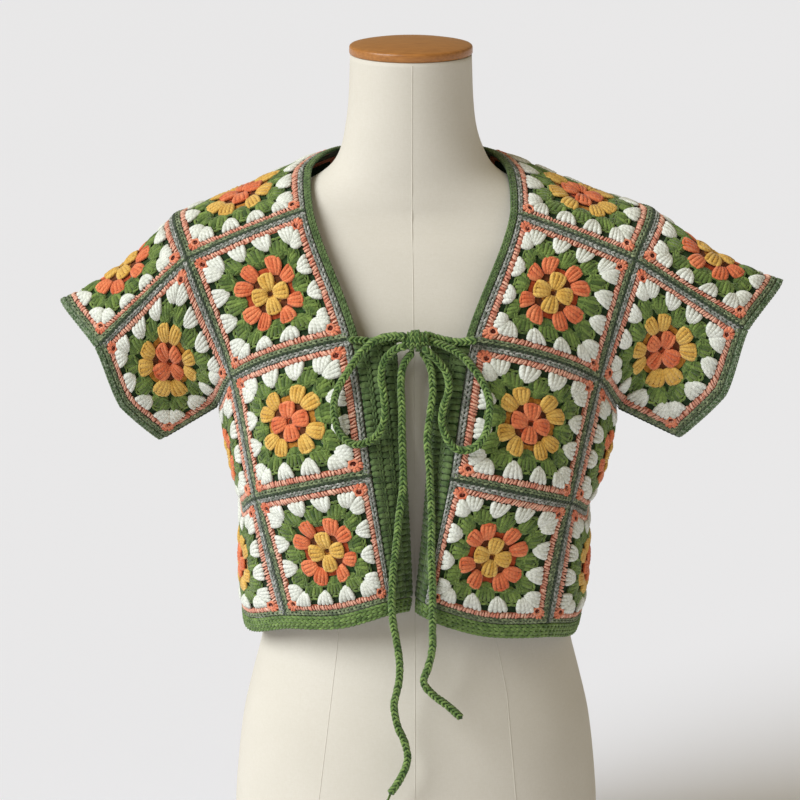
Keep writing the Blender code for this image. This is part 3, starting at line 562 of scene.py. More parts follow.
# Stitches, gathered as tubes of yarn in a flat layout in millimetres: across, along and up
class Stitches:
    def __init__(self, seed):
        self.random = random.Random(seed)
        self.points, self.quads, self.ends, self.slots = [], [], [], []
        self.quad_uvs, self.end_uvs, self.quad_slots, self.end_slots = [], [], [], []
        self.count = 0

    def slot(self, material):
        if material not in self.slots:
            self.slots.append(material)
        return self.slots.index(material)

    def tube(self, path, radius, material, sides=6, flat=0.85, reach=0.6, up=None):
        """A strand along a path; flat is its height over its width, reach how far its ends stand out."""
        path = np.asarray(path, float)
        count = len(path)
        tangent = unit(np.gradient(path, axis=0))
        up = np.array((0.0, 0.0, 1.0)) if up is None else np.asarray(up, float)
        side = unit(np.cross(tangent, np.broadcast_to(up, tangent.shape)))
        top = np.cross(side, tangent)
        radii = np.broadcast_to(np.asarray(radius, float), (count,)) * (1 + self.random.uniform(-0.05, 0.05))
        angles = 2 * math.pi * (np.arange(sides) + 0.5) / sides
        ring = (path[:, None] + side[:, None] * (np.cos(angles) * radii[:, None])[..., None]
                + top[:, None] * (np.sin(angles) * radii[:, None] * flat)[..., None])
        start_tip = path[0] - tangent[0] * radii[0] * reach
        end_tip = path[-1] + tangent[-1] * radii[-1] * reach
        base = self.count
        self.points.append(np.concatenate((ring.reshape(-1, 3), start_tip[None], end_tip[None])))
        here, beside = ring_corners(count - 1, sides)
        quads = base + np.stack((here, here + sides, beside + sides, beside), -1).reshape(-1, 4)
        steps = np.linalg.norm(np.diff(path, axis=0), axis=1)
        spots = np.concatenate(([0.0], np.cumsum(steps))) / (2 * max(radii.mean(), 1e-6))
        spots = spots + self.random.random()
        around = np.arange(sides) / sides
        u, low, high = (np.broadcast_to(row, (count - 1, sides))
                        for row in (around, spots[:-1, None], spots[1:, None]))
        step = 1.0 / sides
        self.quad_uvs.append(np.stack((u, low, u, high, u + step, high, u + step, low), -1).reshape(-1, 4, 2))
        first_tip = base + count * sides
        last = base + (count - 1) * sides
        index = np.arange(sides)
        after = (index + 1) % sides
        starts = np.stack((np.full(sides, first_tip), base + index, base + after), -1)
        finishes = np.stack((np.full(sides, first_tip + 1), last + after, last + index), -1)
        self.quads.append(quads)
        self.ends.append(np.concatenate((starts, finishes)))
        zero, final = np.full(sides, spots[0]), np.full(sides, spots[-1])
        start_uvs = np.stack((around + step / 2, zero - 0.3, around, zero, around + step, zero), -1)
        finish_uvs = np.stack((around + step / 2, final + 0.3, around + step, final, around, final), -1)
        self.end_uvs.append(np.concatenate((start_uvs, finish_uvs)).reshape(-1, 3, 2))
        self.quad_slots.append(np.full(len(quads), self.slot(material)))
        self.end_slots.append(np.full(2 * sides, self.slot(material)))
        self.count += count * sides + 2

    def gather(self, other, place):
        """Take up the strands of another set, once the function given has placed them."""
        self.points.append(place(np.concatenate(other.points) * MM))
        self.quads += [quads + self.count for quads in other.quads]
        self.ends += [ends + self.count for ends in other.ends]
        self.quad_uvs += other.quad_uvs
        self.end_uvs += other.end_uvs
        slots = np.array([self.slot(material) for material in other.slots])
        self.quad_slots += [slots[row] for row in other.quad_slots]
        self.end_slots += [slots[row] for row in other.end_slots]
        self.count += other.count

    def build(self, name, place=in_metres, turned=False):
        """A mesh object of all the strands, their points placed by the function given."""
        tables = (self.quads, self.ends, self.quad_uvs, self.end_uvs, self.quad_slots, self.end_slots)
        return mesh_piece(name, place(np.concatenate(self.points)),
                          *(np.concatenate(table) for table in tables), self.slots, turned)


def mesh_piece(name, points, quads, ends, quad_uvs, end_uvs, quad_slots, end_slots, materials, turned):
    if turned:
        quads, quad_uvs = quads[:, ::-1], quad_uvs[:, ::-1]
        ends, end_uvs = ends[:, ::-1], end_uvs[:, ::-1]
    mesh = bpy.data.meshes.new(name)
    mesh.vertices.add(len(points))
    mesh.vertices.foreach_set("co", points.astype(np.float32).ravel())
    mesh.loops.add(quads.size + ends.size)
    mesh.loops.foreach_set("vertex_index", np.concatenate((quads.ravel(), ends.ravel())).astype(np.int32))
    mesh.polygons.add(len(quads) + len(ends))
    starts = np.concatenate((np.arange(len(quads)) * 4, quads.size + np.arange(len(ends)) * 3))
    mesh.polygons.foreach_set("loop_start", starts.astype(np.int32))
    mesh.polygons.foreach_set("material_index", np.concatenate((quad_slots, end_slots)).astype(np.int32))
    mesh.polygons.foreach_set("use_smooth", np.ones(len(quads) + len(ends), dtype=bool))
    layer = mesh.uv_layers.new(name="UVMap")
    layer.data.foreach_set("uv", np.concatenate((quad_uvs.ravel(), end_uvs.ravel())).astype(np.float32))
    for material in materials:
        mesh.materials.append(material)
    mesh.update(calc_edges=True)
    piece = bpy.data.objects.new(name, mesh)
    bpy.context.scene.collection.objects.link(piece)
    return piece


def plain_piece(name, points, quads, ends, flat, material, turned=False):
    """A mesh object of one material; flat is where each point lies in its texture."""
    return mesh_piece(name, points, quads, ends, flat[quads], flat[ends], np.zeros(len(quads), int),
                      np.zeros(len(ends), int), [material], turned)


def hold(word, *pieces):
    """Fix pieces to the body; the colour slot word is not used."""
    for piece in pieces:
        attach(piece, root)


def bend(start, middle, end, count):
    """Points on a smooth arc from start to end that leans towards the middle point."""
    t = np.linspace(0.0, 1.0, count)[:, None]
    start, middle, end = (np.asarray(row, float) for row in (start, middle, end))
    return start * (1 - t) ** 2 + middle * 2 * t * (1 - t) + end * t ** 2


def turned_rows(rows, angle, shift=(0.0, 0.0)):
    rows = np.asarray(rows, float)
    out = rows.copy()
    out[:, 0] = rows[:, 0] * math.cos(angle) - rows[:, 1] * math.sin(angle) + shift[0]
    out[:, 1] = rows[:, 0] * math.sin(angle) + rows[:, 1] * math.cos(angle) + shift[1]
    return out


# A granny square, in millimetres from its middle, with heights over its patch
FLOWERS = {"a": ("yellow", "orange"), "b": ("orange", "yellow")}      # wool of the heart and the petals
HEART_PETALS = (9.7, 6.6, 6.4, 2.2)      # middle, half length, half width, strand radius
CORNER_PETALS = (23.2, 7.0, 6.0, 2.1)
CORNER_PETAL_ANGLE = 16.4
CORNER_PETAL_LEAN = 9.0
PETAL_POSTS = (-1.0, -0.34, 0.34, 1.0)      # shares of the half width
PETAL_POST_GAP = 2.2
PETAL_SWELL = (0.66, 0.90, 1.0, 1.02, 0.94, 0.70)
PETAL_CAP = (1.1, 1.5, 1.6, 1.5, 1.1)
PETAL_ROOT = 2.2
PETAL_CREST = 4.9
PETAL_TIP = 2.9
TIP_NARROWING = 0.80
FAN_SWELL = (0.60, 0.94, 1.04, 1.0, 0.84)
LEAF_TOP = 37.5
LEAF_PITCH = 23.6
LEAF_FANS = (
    # (across at the top, across at the base, along at the base)
    (-LEAF_PITCH, -18.0, 23.5), (0.0, 0.0, 22.0), (LEAF_PITCH, 18.0, 23.5))
LEAF_CHAINS = (
    # (half length, line, half width, height, pitch, strand radius)
    (34.0, 27.6, 1.6, 3.4, 5.2, 1.2),
    (35.0, LEAF_TOP + 1.0, 1.8, 2.8, 5.4, 1.3),
)
WHITE_BASE = 33.0
WHITE_TOP = 45.6
WHITE_PITCH = 23.4
WHITE_CORNER = 35.0
CORAL_LOW = 46.6
CORAL_MIDDLE = 48.7
CORAL_HIGH = 50.7
CORAL_HALF = 46.5
CORAL_COUNT = 36
CORNER_HOLE = 44.9
HOLE_REACH = 3.3
HOLE_HEIGHT = 3.5
HOLE_POINTS = 11
HOLE_STUB = ((43.0, 43.0, 1.6), (44.9, 44.9, 1.9), (46.8, 46.8, 1.6))
CORNER_SPOKES = ((5, 6.6), (30, 7.6), (60, 7.6), (85, 6.6))      # angle in degrees, reach
GREY_MIDDLE = 53.4
GREY_SPAN = (-55.2, 54.6)


def petal(stitches, middle, half_length, half_width, radius, angle, material, lean=0.0):
    """A cluster drawn together at both ends: bowed posts side by side and a strand across the end."""
    jitter = stitches.random.uniform
    spot = math.radians(angle + jitter(-2.0, 2.0))
    centre = (middle * math.cos(spot), middle * math.sin(spot))
    turn = spot + math.radians(lean + jitter(-4.0, 4.0))
    for share in PETAL_POSTS:
        post = bend((-half_length, share * PETAL_POST_GAP, PETAL_ROOT),
                    (jitter(0.4, 1.8), share * half_width + jitter(-0.35, 0.35),
                     PETAL_CREST - 0.8 * abs(share)),
                    (half_length - 0.5 * abs(share), share * half_width * TIP_NARROWING, PETAL_TIP), 6)
        stitches.tube(turned_rows(post, turn, centre), radius * np.array(PETAL_SWELL), material, 5, 0.88)
    cap = bend((half_length - 1.4, -half_width * TIP_NARROWING, PETAL_TIP),
               (half_length + 0.9, jitter(-0.6, 0.6), 4.2),
               (half_length - 1.4, half_width * TIP_NARROWING, PETAL_TIP), 5)
    stitches.tube(turned_rows(cap, turn, centre), PETAL_CAP, material, 5, 0.9)


def fan(stitches, base, top, spread_base, spread_top, radius, material, side_angle, heights, posts):
    """A cluster of posts that fan out from base to top, turned to its side of the square."""
    jitter = stitches.random.uniform
    for post in np.linspace(-1, 1, posts):
        start = np.array((base[0] + post * spread_base, base[1] + abs(post) * 0.9, heights[0]))
        end = np.array((top[0] + post * spread_top, top[1] - abs(post) * 0.4 + jitter(-0.5, 0.5),
                        heights[2]))
        middle = (start + end) / 2 + (post * 1.0, 0.0, 0.0)
        middle[2] = heights[1] - abs(post) * 0.35
        path = turned_rows(bend(start, middle, end, 5), side_angle)
        stitches.tube(path, np.array(FAN_SWELL) * radius, material, 5, 0.78)


def chain(stitches, start, end, line, half, height, pitch, radius, material, side_angle=0.0):
    """A row of chain tops: pairs of legs that open from a middle line, one pair in the next."""
    count = max(1, round((end - start) / pitch))
    pitch = (end - start) / count
    radii = (radius * 0.8, radius, radius * 0.75)
    for index in range(count):
        low = start + index * pitch
        for way in (-1, 1):
            path = bend((low, line + way * 0.15 * half, height - 0.2),
                        (low + pitch * 0.55, line + way * half * 1.1, height + 0.5),
                        (low + pitch * 1.25, line + way * half, height - 0.9), 3)
            stitches.tube(turned_rows(path, side_angle), radii, material, 4, 0.9)


def white_clusters(stitches, side):
    jitter = stitches.random.uniform
    for spot in (-WHITE_CORNER, -WHITE_PITCH / 2, WHITE_PITCH / 2, WHITE_CORNER):
        corner = abs(spot) > 0.6 * WHITE_PITCH
        base = (spot * (0.90 if corner else 0.98) + jitter(-0.6, 0.6), WHITE_BASE + jitter(-0.8, 0.8))
        fan(stitches, base, (spot, WHITE_TOP), 1.5, 5.6 if corner else 6.7, 2.6, WOOL["white"], side,
            (2.9, 4.5, 3.2), 4)


def coral_posts(stitches, side):
    jitter = stitches.random.uniform
    for index in range(CORAL_COUNT):
        spot = -CORAL_HALF + 2 * CORAL_HALF * (index + 0.5) / CORAL_COUNT + jitter(-0.4, 0.4)
        path = bend((spot - 0.9 + jitter(-0.9, 0.9), CORAL_LOW + jitter(-0.8, 0.6), 2.7),
                    (spot - 0.1, CORAL_MIDDLE, 3.7 + jitter(-0.4, 0.4)),
                    (spot + 0.9 + jitter(-0.9, 0.9), CORAL_HIGH + jitter(-0.6, 0.4), 2.6), 3)
        thick = jitter(0.95, 1.35)
        stitches.tube(turned_rows(path, side), (thick * 0.9, thick, thick * 0.85), WOOL["coral"], 4, 0.9)


def corner_loop(stitches, side):
    """The hole in the coral round at a corner, with a stub of dark yarn in it that paints the shade in the
    hole, and short spokes outside it.
    """
    around = np.linspace(0.0, 2 * math.pi, HOLE_POINTS)
    loop = np.stack((CORNER_HOLE + HOLE_REACH * np.cos(around), CORNER_HOLE + HOLE_REACH * np.sin(around),
                     np.full(HOLE_POINTS, HOLE_HEIGHT)), 1)
    stitches.tube(turned_rows(loop, side), 1.25, WOOL["corner"], 5, 0.9, 0.0)
    # painted shade: a dark stub fills the corner hole
    stitches.tube(turned_rows(bend(*HOLE_STUB, 3), side), (1.6, 2.6, 1.6), WOOL["hole"], 6, 0.5)
    for turn, reach in CORNER_SPOKES:
        lean = math.radians(turn)
        way = np.array((math.cos(lean), math.sin(lean), 0.0))
        start = np.array((CORNER_HOLE, CORNER_HOLE, 3.2)) + way * 3.6
        end = np.array((CORNER_HOLE, CORNER_HOLE, 2.8)) + way * reach
        path = bend(start, (start + end) / 2 + (0, 0, 1.3), end, 3)
        stitches.tube(turned_rows(path, side), (1.2, 1.45, 1.2), WOOL["corner"], 5, 0.9)


def granny(seed, colour_set):
    heart, petals = FLOWERS[colour_set]
    stitches = Stitches(seed)
    jitter = stitches.random.uniform
    for quarter in range(4):
        angle = 90.0 * quarter
        petal(stitches, *HEART_PETALS, angle, WOOL[heart])
        for way in (-1, 1):
            petal(stitches, *CORNER_PETALS, angle + 45.0 + way * CORNER_PETAL_ANGLE, WOOL[petals],
                  way * CORNER_PETAL_LEAN)
        side = math.radians(angle)
        for spot, base_spot, base_along in LEAF_FANS:
            fan(stitches, (base_spot, base_along), (spot + jitter(-0.5, 0.5), LEAF_TOP), 3.0, 8.2, 2.1,
                WOOL["green"], side, (1.7, 3.6 + jitter(-0.4, 0.4), 2.5), 5)
        for reach, *rest in LEAF_CHAINS:
            chain(stitches, -reach, reach, *rest, WOOL["green"], side)
        white_clusters(stitches, side)
        coral_posts(stitches, side)
        corner_loop(stitches, side)
        chain(stitches, *GREY_SPAN, GREY_MIDDLE, 1.5, 3.1, 4.2, 1.25,
              WOOL["grey" if quarter < 2 else "sage"], side)
    return stitches


# The ring colours are ground cloths in painted shade: deep under the petal roots, dark under the white
# clusters
GROUND_RINGS = [
    # (reach in mm, squareness, height in mm, colour outside it)
    (2.0, 0.0, 1.0, "heart"),
    (11.0, 0.0, 1.6, "deep"),
    (17.5, 0.0, 1.2, "petals"),
    (22.0, 0.0, 1.4, "green"),
    (31.0, 0.1, 1.3, "green"),
    (40.0, 0.85, 1.3, "dark"),
    (46.2, 1.0, 1.5, "coral"),
    (50.9, 1.0, 1.9, "grey"),
    (56.08, 1.0, 2.1, "grey"),
]
RING_POINTS = 48
BACK_LEVEL = 0.25
DRIFT_END, DRIFT_FADE = 46.0, 27.0
WARP_END, WARP_FADE, WARP_REACH = 54.0, 14.0, 1.1
DRIFTS = {
    # square: how far its flower sits off the middle, (across, along) in mm
    "front_chest_first": (-6.7, -3.6),
    "front_chest_second": (-8.6, -0.8),
    "front_bust_second": (-3.8, 0.4),
}


def drift(flat, shift):
    """The shift of a square's flower at these places; it dies out before the coral row."""
    reach = np.maximum(abs(flat[:, 0]), abs(flat[:, 1]))
    return np.clip((DRIFT_END - reach) / DRIFT_FADE, 0.0, 1.0)[:, None] * np.array(shift)


def ground_cloth(name, patch, colour_set, shift):
    """The thin cloth of a square: a front face in rings of colour that paint the shade between the stitches,
    a back face and a rim.
    """
    rim = []
    for index in range(RING_POINTS):
        side, part = divmod(index, RING_POINTS // 4)
        along = -1.0 + 2.0 * part / (RING_POINTS // 4)
        rim.append(((along, -1.0), (1.0, along), (-along, 1.0), (-1.0, -along))[side])
    rim = np.array(rim)
    radial = unit(rim)
    colours = dict(zip(("heart", "petals"), FLOWERS[colour_set]))
    names = []
    points = [np.array([[0.0, 0.0, 0.9]])]
    faces, slots, ends, end_slots = [], [], [], []
    around = np.arange(RING_POINTS)
    after = (around + 1) % RING_POINTS

    def slot(word):
        word = colours.get(word, word)
        if word not in names:
            names.append(word)
        return names.index(word)

    # painted shade: the middle hole of the front face takes the deep shade cloth
    ends.append(np.stack((np.zeros(RING_POINTS, int), 1 + around, 1 + after), -1))
    end_slots.append(np.full(RING_POINTS, slot("deep")))
    for face in (0, 1):
        for reach, squareness, height, _colour in GROUND_RINGS:
            flat = (radial * (1 - squareness) + rim * squareness) * reach
            flat = flat + drift(flat, shift)
            level = height if face == 0 else BACK_LEVEL
            points.append(np.concatenate((flat, np.full((RING_POINTS, 1), level)), 1))
    points.append(np.array([[0.0, 0.0, BACK_LEVEL]]))
    count = len(GROUND_RINGS)
    for face in (0, 1):
        for ring in range(count - 1):
            start = 1 + (face * count + ring) * RING_POINTS
            row = np.stack((start + around, start + RING_POINTS + around, start + RING_POINTS + after,
                            start + after), -1)
            faces.append(row if face == 0 else row[:, ::-1])
            slots.append(np.full(RING_POINTS, slot(GROUND_RINGS[ring][3])))
    front_rim = 1 + (count - 1) * RING_POINTS
    back_rim = 1 + (2 * count - 1) * RING_POINTS
    faces.append(np.stack((front_rim + around, back_rim + around, back_rim + after, front_rim + after), -1))
    slots.append(np.full(RING_POINTS, slot("grey")))
    centre = 1 + 2 * count * RING_POINTS
    back_first = 1 + count * RING_POINTS
    ends.append(np.stack((np.full(RING_POINTS, centre), back_first + after, back_first + around), -1))
    end_slots.append(np.full(RING_POINTS, slot("heart")))
    points, faces, ends = (np.concatenate(table) for table in (points, faces, ends))
    flat = points[:, :2] / 10
    return mesh_piece(name, on_square(patch, points), faces, ends, flat[faces], flat[ends],
                      np.concatenate(slots), np.concatenate(end_slots),
                      [GROUND[word] for word in names], patch.sign < 0)


def on_square(patch, points):
    rows = points.copy()
    rows[:, :2] = 0.5 + points[:, :2] * MM / SQUARE_SIDE
    rows[:, 2] *= MM
    return patch.place(rows)


def soft_warp(seed, shift):
    """A slow wander of the stitches, so that no two squares are alike; it dies out at the rim."""
    pick = random.Random(seed)
    ranges = ((0.03, 0.10), (0.03, 0.10), (0, 6.28), (0, 6.28))
    waves = [[pick.uniform(*span) for span in ranges] for _ in range(4)]

    def warp(points):
        out = points.copy()
        out[:, :2] += drift(points, shift)
        reach = np.maximum(abs(points[:, 0]), abs(points[:, 1]))
        fade = np.clip((WARP_END - reach) / WARP_FADE, 0.0, 1.0) * WARP_REACH / 2
        for index, (rate_x, rate_y, phase_x, phase_y) in enumerate(waves):
            out[:, index % 2] += fade * np.sin(points[:, 0] * rate_x + points[:, 1] * rate_y
                                               + phase_x + phase_y)
        return out
    return warp


SLOTS = {"a": "wool_yellow_heart", "b": "wool_orange_heart"}
designs = {(word, version): granny(11 * version + (5 if word == "a" else 7), word)
           for word in "ab" for version in range(3)}
for index, (name, colour_set) in enumerate(square_sets.items()):
    patch = patches[name]
    shift = DRIFTS.get(name, (0.0, 0.0))
    cloth = ground_cloth(name + "_cloth", patch, colour_set, shift)
    warp = soft_warp(index, shift)
    stitches = designs[(colour_set, index % 3)].build(
        name + "_stitches", lambda points: on_square(patch, warp(points)), patch.sign < 0)
    hold(SLOTS[colour_set], cloth, stitches)
    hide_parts(name)

# Joins between the squares: a chain along each edge that two squares share
JOIN_CHAIN = (0.0, 0.9, 3.1, 4.2, 1.0)      # line, half width, height, pitch, strand radius
JOIN_SEED = 400
joins = Stitches(JOIN_SEED)
shared = [names for names, users in edge_users.items() if sum(user in square_sets for user in users) > 1]
for index, names in enumerate(shared):
    line = Line(names)
    row = Stitches(JOIN_SEED + index)
    chain(row, 0.5, line.length / MM - 0.5, *JOIN_CHAIN, WOOL["seam"])
    joins.gather(row, line.place)
hold("wool_green", joins.build("square_joins", lambda points: points))


# Edgings
STRIP_STEP = 0.009
STRIP_LOW = 0.42
STRIP_UNDER = 0.3
STRIP_OVER = 2.4


def strip_cloth(name, line, width, closed, material):
    """The thin cloth of an edging."""
    steps = max(8, int(line.length / STRIP_STEP))
    spots = np.linspace(0.0, line.length / MM, steps + 1)
    if closed:
        spots = spots[:-1]
    section = ((STRIP_LOW, STRIP_UNDER), (width, STRIP_UNDER), (width, STRIP_OVER),
               (width / 2, STRIP_OVER + 0.3), (STRIP_LOW, STRIP_OVER))
    points = np.array([(spot, out, height) for spot in spots for out, height in section])
    sides = len(section)
    total = len(spots)
    here, beside = ring_corners(total if closed else total - 1, sides)
    faces = np.stack((here, beside, (beside + sides) % (total * sides), (here + sides) % (total * sides)), -1)
    faces = faces.reshape(-1, 4)
    last = (total - 1) * sides
    ends = np.zeros((0, 3), int)
    if not closed:
        ends = np.array([(0, 2, 1), (0, 3, 2), (0, 4, 3),
                         (last, last + 1, last + 2), (last, last + 2, last + 3), (last, last + 3, last + 4)])
    return plain_piece(name, line.place(points * MM), faces, ends, points[:, :2] / 10, material)


HEM_LINE = ROUND_LINES[0][1][:-1]
CUFF_ROWS = ((0.3, 0.9, 2.0, 1.1), (1.9, 1.0, 3.1, 1.1), (3.9, 1.2, 2.8, 1.2))
EDGINGS = {
    # node: (line, turn, closed, width, wool, rows of chain as (line, half width, height, strand radius))
    "hem_border": (["A" + name for name in HEM_LINE] + ["MmH"] + ["B" + name for name in reversed(HEM_LINE)],
                   -1.0, False, HEM_WIDTH, "trim", ((2.6, 1.9, 3.2, 1.65), (6.6, 1.9, 3.3, 1.7),
                                                    (10.4, 1.7, 2.9, 1.6))),
    "neck_edging": (["Af0C", "Af0S", "Ar0", "Ab0S", "MmS", "Bb0S", "Br0", "Bf0S", "Bf0C"],
                    1.0, False, NECK_WIDTH, "band", ((1.6, 1.1, 3.0, 1.2), (4.3, 1.2, 2.7, 1.25))),
    "cuff_border_first": (["A" + name for name in CUFF_LINE], -1.0, True, CUFF_WIDTH, "cuff",
                          CUFF_ROWS),
    "cuff_border_second": (["B" + name for name in CUFF_LINE], 1.0, True, CUFF_WIDTH, "cuff",
                           CUFF_ROWS),
}
for name, (names, turn, closed, width, wool, rows) in EDGINGS.items():
    line = Line(names, turn, closed)
    cloth = strip_cloth(name + "_cloth", line, width / MM - 1.2, closed,
                        GROUND["cuff" if wool == "cuff" else "trim"])
    trim = Stitches(500 + len(names))
    for middle, half, height, radius in rows:
        chain(trim, 0.3, line.length / MM - 1.5, middle, half, height, 3.1 * radius, radius, WOOL[wool])
    stitches = trim.build(name + "_stitches", lambda points: line.place(points * MM), turn < 0)
    hold("wool_green", cloth, stitches)
    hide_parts(name)

# Front bands
def grid_cloth(name, patch, across_range, along_range, steps, levels, material):
    """The thin cloth of a band: two faces at the levels given and a rim."""
    across = np.linspace(*across_range, steps[0] + 1)
    along = np.linspace(*along_range, steps[1] + 1)
    rows, columns = steps[1] + 1, steps[0] + 1
    flat = np.array([(u, v) for v in along for u in across])
    layer = rows * columns    # points of one face
    points = np.concatenate([np.concatenate((flat, np.full((layer, 1), level * MM)), 1) for level in levels])
    cell = np.array([row * columns + column for row in range(rows - 1) for column in range(columns - 1)])
    lower = np.stack((cell, cell + columns, cell + columns + 1, cell + 1), -1)
    upper = lower[:, ::-1] + layer
    rim = np.array([column for column in range(columns - 1)]
                   + [row * columns + columns - 1 for row in range(rows - 1)]
                   + [(rows - 1) * columns + column for column in range(columns - 1, 0, -1)]
                   + [row * columns for row in range(rows - 1, 0, -1)])
    after = np.roll(rim, -1)
    wall = np.stack((rim, after, after + layer, rim + layer), -1)
    return plain_piece(name, patch.place(points), np.concatenate((lower, upper, wall)),
                       np.zeros((0, 3), int), points[:, :2] * 5, material, patch.sign < 0)


BAND_ROWS = {"band_first": (34.0, 3), "band_second": (26.0, 2)}      # width, rows of posts
BAND_LENGTH = 232.0
BAND_PITCH = 5.4
BAND_ACROSS = (0.012, 0.985)      # shares of the patch that its cloth takes up
BAND_ALONG = (0.002, 0.998)
BAND_STEPS = (8, 48)
BAND_LEVELS = (0.3, 2.0)
BAND_POST = (2.2, 2.8, 2.8, 2.4)


def band_post(stitches, low, inner, outer):
    jitter = stitches.random.uniform
    post = bend((low + jitter(-0.9, 0.9), inner, 2.1),
                (low + 1.8, (inner + outer) / 2, 3.7 + jitter(-0.5, 0.5)),
                (low + 1.4 + jitter(-0.9, 0.9), outer, 2.6), 4)
    stitches.tube(post, BAND_POST, WOOL["band"], 6, 0.66)


for name, (band_width, rows_across) in BAND_ROWS.items():
    patch = patches[name]
    cloth = grid_cloth(name + "_cloth", patch, BAND_ACROSS, BAND_ALONG, BAND_STEPS, BAND_LEVELS,
                       GROUND["band"])
    trim = Stitches(600 + int(band_width))
    row_width = band_width / rows_across
    top = BAND_LENGTH * BAND_ALONG[1] - 2.0
    for row in range(rows_across):
        inner, outer = row * row_width + 1.0, (row + 1) * row_width - 3.4
        for step in range(int(top / BAND_PITCH)):
            band_post(trim, 2.4 + step * BAND_PITCH, inner, outer)
        chain(trim, 1.5, top, outer + 1.6, 1.5, 3.3, BAND_PITCH, 1.45, WOOL["band"])

    def band_place(points):
        rows = np.stack((points[:, 1] / band_width, points[:, 0] / BAND_LENGTH, points[:, 2] * MM), 1)
        return patch.place(rows)

    stitches = trim.build(name + "_stitches", band_place, patch.sign > 0)
    hold("wool_green", cloth, stitches)
    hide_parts(name)

# Tie cord: the same routes as the solids
CORD_ROUTES = {
    # name: (far end, route in millimetres: across, forward (negative) and up)
    "cord_loop_first": ("knot", [
        (-7.2, -121, 536), (-15, -119, 535.5), (-31, -116, 532), (-45, -117, 521), (-58, -121, 503),
        (-68, -125, 485), (-69, -130, 465), (-63, -134, 450), (-51, -136, 442), (-40, -135, 444),
        (-29, -132, 453), (-25, -129, 467), (-26, -126, 485), (-28, -122, 504), (-24, -120, 516),
        (-15, -121, 524.5), (-7.2, -122, 527)]),
    "cord_loop_second": ("knot", [
        (10.2, -114.5, 530.5), (24, -115, 527), (36, -116, 522), (48, -118, 512), (58, -121, 499),
        (66, -126, 482), (66, -131, 463), (61, -135, 447), (50, -137, 438), (38, -137, 438),
        (29, -134, 448), (25, -131, 461), (26, -128, 473), (31, -124, 489), (29, -121, 503),
        (21, -121.5, 514), (15, -123, 520.5), (9.6, -124, 525.5)]),
    "cord_end_first": ("bare", [
        (-1, -118, 520.3), (-8, -119, 511), (-11, -122, 493), (-10, -125, 476), (-10, -128, 450),
        (-9, -130, 424), (-9, -130, 402), (-12, -130, 381), (-14, -130, 359), (-16, -130, 342),
        (-18, -130, 322), (-19, -130, 301), (-18, -130, 280), (-14, -130, 257), (-12, -130, 240),
        (-13, -130, 222), (-17, -130, 204), (-14, -130, 184), (-7, -130, 167), (-5, -130, 152),
        (-11, -130, 136), (-20, -130, 122)]),
    "cord_end_second": ("bare", [
        (7.5, -114.5, 520.6), (13.5, -116.5, 511), (17, -121, 493), (15, -126, 469), (12, -129, 444),
        (14, -130, 422), (15, -131, 402), (16, -133, 380), (16, -134, 359), (16, -135, 337),
        (17, -135, 316), (17, -134, 294), (17, -132, 273), (17, -130, 255), (13, -130, 237),
        (9, -130, 224), (17, -130, 213), (30, -130, 203), (42, -130, 192)]),
    "cord_run_first": ("object", [
        (-56, -109.5, 530.5), (-46, -109, 529.5), (-35, -108, 528.3), (-24, -107, 528.8),
        (-14, -107, 530.5), (-6.9, -109.5, 531.5)]),
    "cord_run_second": ("object", [
        (55, -109.5, 530), (45, -108.5, 528.3), (35, -107, 527.8), (25, -106, 529.5),
        (16, -106, 532.5), (9.4, -108, 534.5)]),
}
CORD_CORE = 3.0      # radius of the core, radius of a leg, and pitch, in millimetres
CORD_LEG = 1.2
CORD_PITCH = 3.7
CORD_STEP = 0.005
ROUTE_SAMPLES = 12


def smooth_route(rows):
    """Even points in metres along a smooth line through the rows, and its length."""
    points = [np.array(row) / 1000.0 for row in rows]
    slopes = line_slopes(points, False)
    fine = []
    share = (np.arange(ROUTE_SAMPLES) / ROUTE_SAMPLES)[:, None]
    for index in range(len(points) - 1):
        length = np.linalg.norm(points[index + 1] - points[index])
        fine.append(hermite(points[index], slopes[index] * length, points[index + 1],
                            slopes[index + 1] * length, share))
    fine = np.concatenate(fine + [points[-1][None]])
    spots = np.concatenate(([0.0], np.cumsum(np.linalg.norm(np.diff(fine, axis=0), axis=1))))
    even = np.linspace(0.0, spots[-1], max(4, round(spots[-1] / CORD_STEP)) + 1)
    return np.stack([np.interp(even, spots, fine[:, axis]) for axis in range(3)], 1), float(spots[-1])


